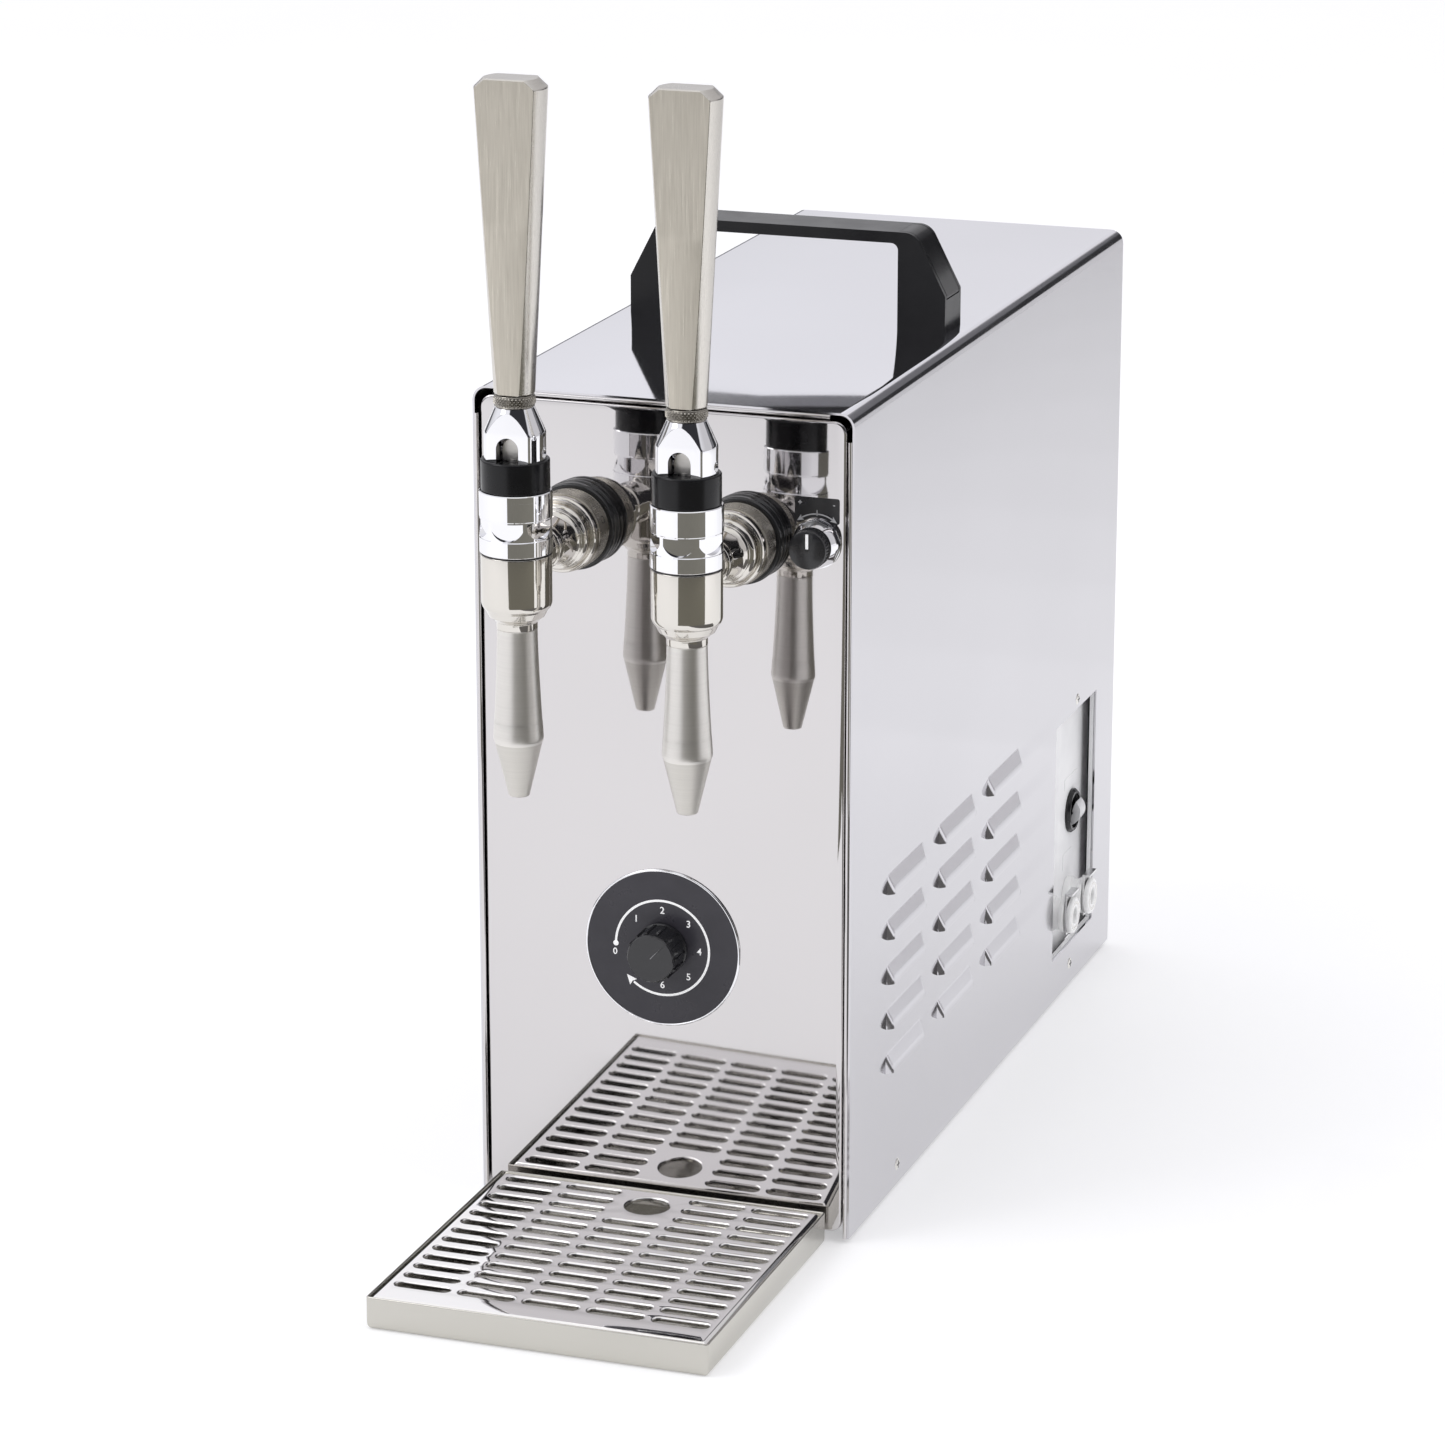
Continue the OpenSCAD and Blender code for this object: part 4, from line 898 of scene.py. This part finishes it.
def build_couplings():
    """White push-in couplings: round flange and split head, with a steel rim round the mouth."""
    low, high = box_mm("coupling_bodies")
    head = RECESS + high.x - MIDDLE_X - HALF_W
    tail = head - (high.x - low.x)
    outline = [(2.6, tail), (4.8, tail), (4.8, -26.0), (8.0, -26.0), (8.0, 0.02), (9.6, 0.02)]
    outline += [(9.6, 3.2), (9.2, 3.7), (8.6, 3.9), (8.6, head - 8.2), (9.0, head - 7.4), (9.8, head - 7.0)]
    outline += [(9.8, head - 4.7), (4.6, head - 4.7), (4.6, head - 2.8), (9.8, head - 2.8), (9.8, head - 0.9)]
    outline += [(8.9, head), (7.7, head), (7.6, head - 0.3), (6.4, head - 0.3), (6.3, head), (4.9, head)]
    outline += [(4.25, head - 0.6), (4.25, -22.0), (2.6, -22.0)]
    rim = [(6.45, head - 0.28), (7.55, head - 0.28), (7.5, head - 0.04), (6.5, head - 0.04)]
    places = [place_side(1) @ Matrix.Translation((y, INLET_Z, HALF_W - RECESS)) for y in INLET_Y]
    turned("coupling_rims", rim, places, "screw_steel", segments=72)
    turned("coupling_shells", outline, places, "acetal_white", ("coupling_bodies",), 28, 72, 0.5)


# ---------- Taps ----------

NECK_Z = 82.0
SEAL_Z = 113.2
BODY_R = 16.0


def spout_radius(z):
    return 9.2 + 2.2 * ((78.5 - z) / 50) ** 1.5


def build_nozzles():
    """Long stout spouts: a turned tip below a fine step, and a waisted pipe."""
    step_z = 35.2
    waist = [(spout_radius(z) - (0.07 if z > step_z else 0), z) for z in [28.6 + 1.65 * i for i in range(31)]]
    outline = [(3.2, 0.35), (3.5, 0), (4.5, 0), (4.8, 0.3), (10.85, 25.4), (11.3, 26.6), (11.4, 27.6)]
    outline += [p for p in waist if p[1] < step_z] + [(spout_radius(step_z), step_z)]
    outline += [(spout_radius(step_z) - 0.07, step_z + 0.05)] + [p for p in waist if p[1] > step_z]
    outline += [(9.2, 78.3), (9.0, 78.45), (6.0, 78.45), (6.0, 30), (3.2, 28)]
    nozzles = turned("stout_nozzles", outline, TAPS, "steel_satin", ("nozzles",), 20, 96, 0.2, 2)
    second_finish(nozzles, "steel_tip", lambda face: face.center.z / MM - TIP_Z < 25.6)


def build_lower_bodies():
    """Turned tap bodies, and the stubs that join them to the shanks."""
    outline = [(0, 78.5), (9.3, 78.5), (9.3, 81.6), (9.9, 82.2)]
    outline += arc(16.4, 77.2, 8.0, 142, 118, 5) + arc(10.6, 91.4, 5.4, -48, 0, 8)
    outline += [(BODY_R, 112.9), (BODY_R - 0.25, SEAL_Z), (0, SEAL_Z)]
    bm = bmesh.new()
    for place in TAPS:
        lathe(bm, place, soften(outline, 0.2, 2), 128, closed=False)
    for place in SHANKS:
        back = TAP_REACH - 8
        stub = [(0, 49.9), (9.5, 49.9), (9.5, back - 12), (9.9, back - 9), (11, back - 6), (11, back), (0, back)]
        lathe(bm, place, soften(stub, 1.2, 4), 64, closed=False)
    piece("tap_lower_shells", bm, "cabinet", "steel_polished", ("tap_lower_bodies",), 34)


def build_collars():
    """Black collars, and the bright seats that the collars stand on."""
    low, high = box_mm("tap_upper_bodies")
    edge = (high.y - low.y) / 2 + 0.01
    seat = [(4.6, 139.7), (15.9, 139.7), (15.9, 139.1), (edge, 139.1), (edge, 141.9), (edge - 0.4, 142.3)]
    seat.append((4.6, 142.3))
    turned("tap_collar_seats", seat, TAPS, "chrome", (), 24, 128)
    collar = [(4.4, 142.4), (15.2, 142.4), (15.5, 142.8), (15.5, 156.0), (15.0, 156.6), (14.6, 156.6)]
    collar += [(13.4, 155.9), (4.4, 155.6)]
    turned("tap_collar_rings", collar, TAPS, "collar_black", ("tap_collars",), 30, 96, 0.3)


def build_seals():
    outline = [(11.5, SEAL_Z), (15.8, SEAL_Z), (16.1, SEAL_Z + 0.3), (15.8, SEAL_Z + 0.6), (11.5, SEAL_Z + 0.6)]
    turned("tap_seal_rings", outline, TAPS, "rubber_black", ("tap_seals",), 60)


def build_ferrule(side, place):
    z0, z1 = 180.4, 185.6
    bm = bmesh.new()
    knurled_band(bm, place, 9.5, z0 + 0.5, z1 - 0.5, 34, 0.7, 8, 4.7)
    for low, high in ((z0, z0 + 0.5), (z1 - 0.5, z1)):
        ring = [(4.7, low), (8.8, low), (9.0, (low + high) / 2), (8.8, high), (4.7, high)]
        lathe(bm, place, ring, 104)
    name, nodes = side + "_knurled_ferrule", (side + "_ferrule",)
    piece(name, bm, side + "_lever", "steel_knurl", nodes, 24)


def build_gaskets():
    outline = [(7.9, -0.9), (20.1, -0.9), (20.6, 0.4), (20.6, 2.1), (19.5, 2.8), (19.2, 3.4), (19.5, 4.0)]
    outline += [(20.6, 4.7), (20.6, 7.1), (19.9, 8), (7.9, 8)]
    turned("gasket_rings", outline, SHANKS, "gasket_rubber", ("shank_gaskets",), 40, 128, 0.5)


def build_lock_rings():
    """Finely knurled rings with four spanner holes, shown as short black sockets: painted shade in place of the
    holes.
    """
    z0, z1, r, bore, edge = 8.0, 20.0, 18.5, 7.9, 0.8
    rings, holes = bmesh.new(), bmesh.new()
    socket = [(0, r - 0.9), (1.55, r - 0.9), (1.75, r - 0.3), (1.8, r + 0.02), (1.55, r + 0.04)]
    socket += [(1.5, r - 0.5), (0, r - 0.6)]
    for place in SHANKS:
        knurled_band(rings, place, r, z0 + edge, z1 - edge, 116, 0.24, 5, bore)
        for low, high in ((z0, z0 + edge), (z1 - edge, z1)):
            ring = [(bore, low), (r - 0.55, low), (r - 0.25, (low + high) / 2), (r - 0.55, high), (bore, high)]
            lathe(rings, place, ring, 116)
        # each spanner hole is a black cup on the ring: painted shade
        for i in range(4):
            turn = Matrix.Rotation(math.radians(20 + 90 * i), 4, "Z") @ Matrix.Rotation(math.radians(90), 4, "Y")
            lathe(holes, place @ Matrix.Translation((0, 0, 14)) @ turn, socket, 24, closed=False)
    piece("knurled_lock_rings", rings, "cabinet", "steel_knurl", ("lock_rings",), 24)
    piece("spanner_holes_painted_shade", holes, "cabinet", "rubber_black")


def build_unions():
    """Polished nuts with a trumpet-shaped neck towards the tap."""
    outline = [(7.9, 20), (17.4, 20), (17.8, 20.6), (17.8, 23.6), (17.2, 24.6), (16.2, 24.9), (15.7, 24.3)]
    outline += [(15.3, 24.3), (15.3, 27.2)] + arc(12.9, 27.4, 2.4, 5, 85, 6)
    turns = [i * math.pi / 24 for i in range(13)]
    outline += [(9.8 + 3.2 * (1 - math.sin(t)), 30.2 + 13.8 * (1 - math.cos(t))) for t in turns]
    outline += [(10.4, 44.6), (10.5, 45.2), (10.5, 49.2), (9.7, 49.9), (7.9, 49.9)]
    finish = "steel_polished"
    turned("polished_unions", outline, SHANKS, finish, ("shank_unions",), 24, 128, 0.3)


# ---------- Dials ----------


def build_dial():
    """Dark disc in a chromed rim with a printed scale, and a grey line on its knob: a painted highlight along the
    edge of the knob's ridge.
    """
    place = place_forward(MIDDLE_X, DIAL_Z)
    face, scale_r = PANEL_FRONT + 0.9, 23.2
    rim = [(DIAL_R - 1.1, PANEL_FRONT), (DIAL_R, PANEL_FRONT), (DIAL_R, face - 0.2), (DIAL_R - 0.4, face + 0.2)]
    rim += [(DIAL_R - 0.9, face + 0.2), (DIAL_R - 1.1, face)]
    turned("dial_rim", rim, [place], "chrome", (), 30, 160, 0.12, 2)
    disc = [(4.6, PANEL_FRONT), (DIAL_R - 1.12, PANEL_FRONT), (DIAL_R - 1.12, face), (4.6, face)]
    turned("dial_disc", disc, [place], "dial_dark", ("dial_plate",), 30, 160)
    marks = bmesh.new()
    low, high = face + 0.01, face + 0.05
    stroke_arc(marks, place, scale_r, 1.1, 180, -128, low, high)
    zero = [(0, low), (1.35, low), (1.35, high), (0, high)]
    lathe(marks, place @ Matrix.Translation((-scale_r, 0, 0)), zero, 32)
    tip = math.radians(-137)
    spot = Matrix.Translation((*polar(scale_r, tip + 0.06), 0))
    arrow = [(2.6, 0.0), (-2.2, 2.3), (-1.5, 0.0), (-2.2, -2.3)]
    extrude(marks, place @ spot @ Matrix.Rotation(tip - math.pi / 2, 4, "Z"), arrow, low, high)
    for i in range(6):
        add_text(marks, place, str(i + 1), *polar(18.4, math.radians(135 - 45 * i)), 3.3, high)
    add_text(marks, place, "0", -23.6, -4.2, 3.1, high)
    piece("dial_marks", marks, "cabinet", "ink_white")
    # grey strip on the black knob: painted highlight where the knob's ridge meets its face
    line = bmesh.new()
    tip = FRONT_Y - box_mm("thermostat_knob")[0].y
    at_angle = place @ Matrix.Rotation(math.radians(48), 4, "Z")
    extrude(line, at_angle, rounded_rect(5.6, 0.16, 0.1, 2.2, 0, 2), tip - 0.4, tip - 0.02)
    piece("knob_ridge_painted_highlight", line, "thermostat_knob", "control_grey")


def stroke_arc(bm, place, r, width, start, end, low, high, steps=72):
    """Flat printed arc."""
    outline = arc(0, 0, r + width / 2, start, end, steps) + arc(0, 0, r - width / 2, end, start, steps)
    extrude(bm, place, outline, low, high)


def add_text(bm, place, words, x, y, height, z):
    """Upright numeral or sign, centred on a point."""
    curve = bpy.data.curves.new("numeral", "FONT")
    curve.body = words
    curve.size = height / 0.7
    curve.align_x = curve.align_y = "CENTER"
    curve.offset = 0.06
    curve.extrude = 0.02
    sign = linked("numeral", curve)
    bpy.context.view_layer.update()
    flat = bpy.data.meshes.new_from_object(sign)
    flat.transform(place @ Matrix.Translation((x, y, z - 0.02)))
    bm.from_mesh(flat)
    bpy.data.objects.remove(sign)
    bpy.data.meshes.remove(flat)
    bpy.data.curves.remove(curve)


def build_gas_marks():
    """Plus, minus and a two-headed arrow on the small label, and the pointer of its knob."""
    place = place_forward(GAS_X, SHANK_Z)
    low, high, r = PANEL_FRONT + 0.4, PANEL_FRONT + 0.44, 13.6
    bm = bmesh.new()
    stroke_arc(bm, place, r, 0.55, 124, 56, low, high, 24)
    for a, sense in ((math.radians(124), 1), (math.radians(56), -1)):
        turn = Matrix.Rotation(a + sense * math.pi / 2, 4, "Z")
        spot = Matrix.Translation((*polar(r, a), 0))
        extrude(bm, place @ spot @ turn, [(2.3, 0), (-0.9, 1.4), (-0.2, 0), (-0.9, -1.4)], low, high)
    extrude(bm, place, [(-0.2, r - 0.9), (0.2, r - 0.9), (0.2, r + 1.9), (-0.2, r + 1.9)], low, high)
    add_text(bm, place, "+", -8.1, 18.4, 2.6, high)
    add_text(bm, place, "-", 8.1, 18.4, 2.6, high)
    piece("gas_label_marks", bm, "cabinet", "ink_grey")
    pointer = bmesh.new()
    extrude(pointer, place, rounded_rect(0.68, 3.45, 0.15, 0, 4.1, 3), 13.55, 13.94)
    piece("gas_pointer", pointer, "gas_knob", "ink_white")


# ---------- Drip tray ----------

TRAY_MID_Y = (tray_lo.y + tray_hi.y) / 2
TRAY_X = (tray_hi.x - tray_lo.x) / 2
TRAY_Y = (tray_hi.y - tray_lo.y) / 2


def build_tray():
    """Pressed pan with a thin rolled rim."""
    corner, sheet, foot, rim, inner = 1.6, 1.0, 3.0, 0.5, 2.0
    outside = arc(TRAY_X - foot, foot, foot, -90, 0, 6) + arc(TRAY_X - rim, tray_hi.z - rim, rim, 0, 180, 8)
    inside = arc(TRAY_X - sheet - inner, sheet + inner, inner, 0, -90, 5)
    levels = [(x, TRAY_Y + x - TRAY_X, max(corner + x - TRAY_X, 0.3), z) for x, z in outside]
    levels += [(x, TRAY_Y + x - TRAY_X, 0.5, z) for x, z in inside]
    bm = bmesh.new()
    rect_loft(bm, place_at(MIDDLE_X, TRAY_MID_Y, 0), levels, steps=4)
    piece("drip_tray_pan", bm, "tray", "tray_steel", ("drip_tray",), 34)


def obround(cx, cy, length, width, grow, steps=10):
    """Slot outline; grow pushes it outwards."""
    r = width / 2 + grow
    reach = (length - width) / 2
    return arc(cx + reach, cy, r, -90, 90, steps) + arc(cx - reach, cy, r, 90, 270, steps)


def build_grate():
    """Polished plate whose slots have drawn-down lips, with a sloping border."""
    place = place_at(MIDDLE_X, 0, 0)
    top = grate_hi.z
    half_x = (grate_hi.x - grate_lo.x) / 2
    half_y = (grate_hi.y - grate_lo.y) / 2
    mid_y = (grate_hi.y + grate_lo.y) / 2
    lip, slope, skirt = 0.85, 1.9, 7.0
    turns = [i * math.pi / 8 for i in range(5)]
    lip_steps = [(lip * (1 - math.sin(t)), -lip * (1 - math.cos(t))) for t in turns] + [(0.0, -2.0)]
    bm = bmesh.new()
    edges = []

    def add_loop(points, drop):
        return loop_verts(bm, place, points, top + drop)

    def fence(loop):
        edges.extend(bm.edges.new((loop[i], loop[(i + 1) % len(loop)])) for i in range(len(loop)))

    first_row = tray_hi.y - 8.5
    shapes = [lambda grow: arc(0.0, first_row - 11.4, 10.6 + grow, 0, 360, 40)[:-1]]
    for column in range(5):
        # the middle column leaves room for the round hole
        for row in range(3 if column == 2 else 0, 13):
            centre = ((column - 2) * 31.1, first_row - 11.4 * row)
            shapes.append(lambda grow, centre=centre: obround(*centre, 27.0, 6.2, grow))
    for shape in shapes:
        loops = [add_loop(shape(grow), drop) for grow, drop in lip_steps]
        fence(loops[0])
        skin(bm, loops)
    inset = slope + 0.35
    border = [(0.0, 0.0), (0.6, -0.12), (slope, -1.35), (inset, -1.9), (inset, -skirt)]
    loops = []
    for out, drop in border:
        loops.append(add_loop(rounded_rect(half_x - inset + out, half_y - inset + out, 1.0, 0, mid_y, 3), drop))
    fence(loops[0])
    for upper, lower in zip(loops, loops[1:]):
        bridge(bm, lower, upper)
    bmesh.ops.triangle_fill(bm, edges=edges, use_beauty=True, normal=(0, 0, 1))
    bmesh.ops.remove_doubles(bm, verts=bm.verts, dist=1e-7)
    bmesh.ops.recalc_face_normals(bm, faces=bm.faces)
    if sum(face.normal.z for face in bm.faces if abs(face.normal.z) > 0.99) < 0:
        bmesh.ops.reverse_faces(bm, faces=bm.faces)
    grate = piece("drip_grate_plate", bm, "grate", "grate_steel", ("drip_grate",), outward=False)
    thicken(grate, 0.7, 40)


def cut_circle(r, flat, edge, steps):
    """Circle with a flat cut on either side of y; always the same number of points."""
    turn = math.asin(min(1, flat / r))
    corner = Vector(polar(r, turn))
    sweep = turn - min(edge / r, turn * 0.4)
    quarter = [Vector(polar(r, sweep * i / steps)) for i in range(steps + 1)]
    onto = Vector((corner.x - min(edge, corner.x * 0.5), corner.y))
    last = quarter[-1]
    quarter += [last.lerp(corner, t).lerp(corner.lerp(onto, t), t) for t in (0.33, 0.67)]
    quarter.append(onto)
    left = [Vector((-p.x, p.y)) for p in reversed(quarter)]
    lower = [Vector((-p.x, -p.y)) for p in quarter[1:]]
    right = [Vector((p.x, -p.y)) for p in reversed(quarter)]
    return quarter + left + lower + right[:-1]


def loft_cut_rod(bm, place, levels, edge, steps=14):
    """Turned rod with flats, through levels of (radius, half thickness, height)."""
    loft(bm, [loop_verts(bm, place, cut_circle(r, flat, edge, steps), z) for r, flat, z in levels])
    bmesh.ops.remove_doubles(bm, verts=bm.verts, dist=1e-7)


BAR_Z = (186.1, 326.2)
BAR_CHAMFER = 4.2


def build_bar(side, place):
    """Tapered lever bar: turned cone with a chamfered end and two brushed flats."""
    low, high = BAR_Z
    foot_r, end_r, foot_flat, end_flat = 9.2, 12.1, 7.6, 8.4
    rise = high - BAR_CHAMFER - low - 0.8
    levels = [(8.8, foot_flat, low), (foot_r, foot_flat + 0.01, low + 0.5)]
    for t in [i / 28 for i in range(1, 29)]:
        levels.append((foot_r + 7.1 * t, foot_flat + 0.8 * t, low + 0.5 + rise * t))
    levels += [(16.2, end_flat, high - BAR_CHAMFER + 0.1), (15.95, end_flat, high - BAR_CHAMFER + 0.45)]
    levels += [(end_r + drop, end_flat, high - drop) for drop in (3.2, 2.4, 1.6, 1.0, 0.6)]
    levels += [(end_r + 0.35, 8.15, high - 0.35), (end_r + 0.1, 7.95, high - 0.1), (11.8, 7.6, high)]
    bm = bmesh.new()
    loft_cut_rod(bm, place, levels, 0.22)
    lathe(bm, place, [(0, 183.0), (4.6, 183.0), (4.6, low + 0.3), (0, low + 0.3)], 32, closed=False)
    name, finish = side + "_tapered_bar", "steel_brushed"
    bar = piece(name, bm, side + "_lever", finish, (side + "_lever_bar",), 8)
    second_finish(bar, "steel_side", lambda face: abs(face.normal.y) < 0.95)


def cut_out(thing, bm):
    """Exact boolean difference with a closed form, baked."""
    bmesh.ops.recalc_face_normals(bm, faces=bm.faces)
    cutter = loose_object("cutter", bm)
    saw = thing.modifiers.new("cut", "BOOLEAN")
    saw.operation = "DIFFERENCE"
    saw.solver = "EXACT"
    saw.object = cutter
    bpy.context.view_layer.update()
    bake(thing, 12)
    bpy.data.objects.remove(cutter)


def build_fork(side, place):
    """Chromed fork: turned and flattened, with an arched slot over the stem and a hole for the pin."""
    base, shoulder, neck, top = 156.0, 168.7, 180.0, 180.4
    r, flat = 13.9, 9.65
    levels = [(13.4, flat, base), (13.7, flat, base + 0.2), (r, flat, base + 0.6)]
    levels += [(r, flat, base + 0.6 + (shoulder - base - 1.1) * i / 4) for i in range(1, 5)]
    levels.append((r - 0.07, flat, shoulder))
    levels += [(r - 5.0 * t, flat, shoulder + (neck - shoulder) * t) for t in [i / 24 for i in range(1, 25)]]
    levels.append((8.4, flat, top))
    bm = bmesh.new()
    loft_cut_rod(bm, place, levels, 0.3, 18)
    fork = piece(side + "_chromed_fork", bm, side + "_lever", "chrome", (side + "_fork",), 12)
    slot = bmesh.new()
    outline = arc(0, 162, 5.3, 0, 180, 24) + [(-5.3, 150), (5.3, 150)]
    extrude(slot, place @ FORWARD.to_4x4(), outline, -15, 15)
    cut_out(fork, slot)
    hole = bmesh.new()
    across = Matrix.Translation((-15, 0, 160)) @ Matrix.Rotation(math.pi / 2, 4, "Y")
    lathe(hole, place @ across, [(0, 0), (2.55, 0), (2.55, 30), (0, 30)], 40, closed=False)
    cut_out(fork, hole)


def build_window_jamb():
    """Folded rear and lower edges of the side window, pale non-metal: painted light in place of the lit steel
    fold.
    """
    bm = bmesh.new()
    half = 1.15
    x = MIDDLE_X + HALF_W - 0.3 - half
    rear = ((WINDOW_Y[1] - 0.1, WINDOW_Y[1] + 0.9), WINDOW_Z)
    lower = (WINDOW_Y, (WINDOW_Z[0] - 0.9, WINDOW_Z[0] + 0.1))
    for (y0, y1), heights in (rear, lower):
        place = place_at(x, FRONT_Y + (y0 + y1) / 2, 0)
        rect_loft(bm, place, [(half, (y1 - y0) / 2, 0.3, z) for z in heights], steps=3)
    # the steel folds are pale non-metal: painted light standing in for the lit edges
    piece("window_jamb", bm, "cabinet", "recess_pale_and_painted_light", (), 40)


def build_pieces():
    for build in (
        build_shell, build_hems, build_front_panel, build_back_panel, build_screws, build_couplings,
        build_nozzles, build_lower_bodies, build_collars, build_seals,
    ):
        build()
    for side, place in zip(("left", "right"), TAPS):
        build_ferrule(side, place)
        build_bar(side, place)
        build_fork(side, place)
    for build in (
        build_gaskets, build_lock_rings, build_unions, build_dial, build_gas_marks, build_tray, build_grate,
        build_window_jamb,
    ):
        build()


def ease_frame():
    """Rounded edges on the CAD nodes that stay in view."""
    widths = {
        "carry_handle": (0.9, 3), "handle_caps": (0.8, 3), "left_stem": (0.3, 2), "right_stem": (0.3, 2),
        "thermostat_knob": (0.25, 2), "gas_knob": (0.12, 1), "gas_bush": (0.25, 2), "gas_label": (0.08, 1),
        "coupling_latch_front": (0.15, 2), "coupling_latch_rear": (0.15, 2),
        "switch_body": (0.3, 2), "switch_rocker": (0.3, 2), "inset_plate": (0.2, 2),
        "mains_inlet": (0.6, 2), "feet": (0.3, 2),
    }
    for node, (width, segments) in widths.items():
        ease_edges(node, width, segments)


make_camera()
make_world()
make_stage()
dress_frame()
build_pieces()
ease_frame()

area_light("key_left", (-1.9, -1.6, 2.3), 1.6, 1.6, 20)
area_light("fill_right", (2.4, -0.6, 1.8), 1.4, 1.8, 20).visible_glossy = False

scene = bpy.context.scene
scene.view_settings.view_transform = "Standard"
scene.view_settings.look = "None"
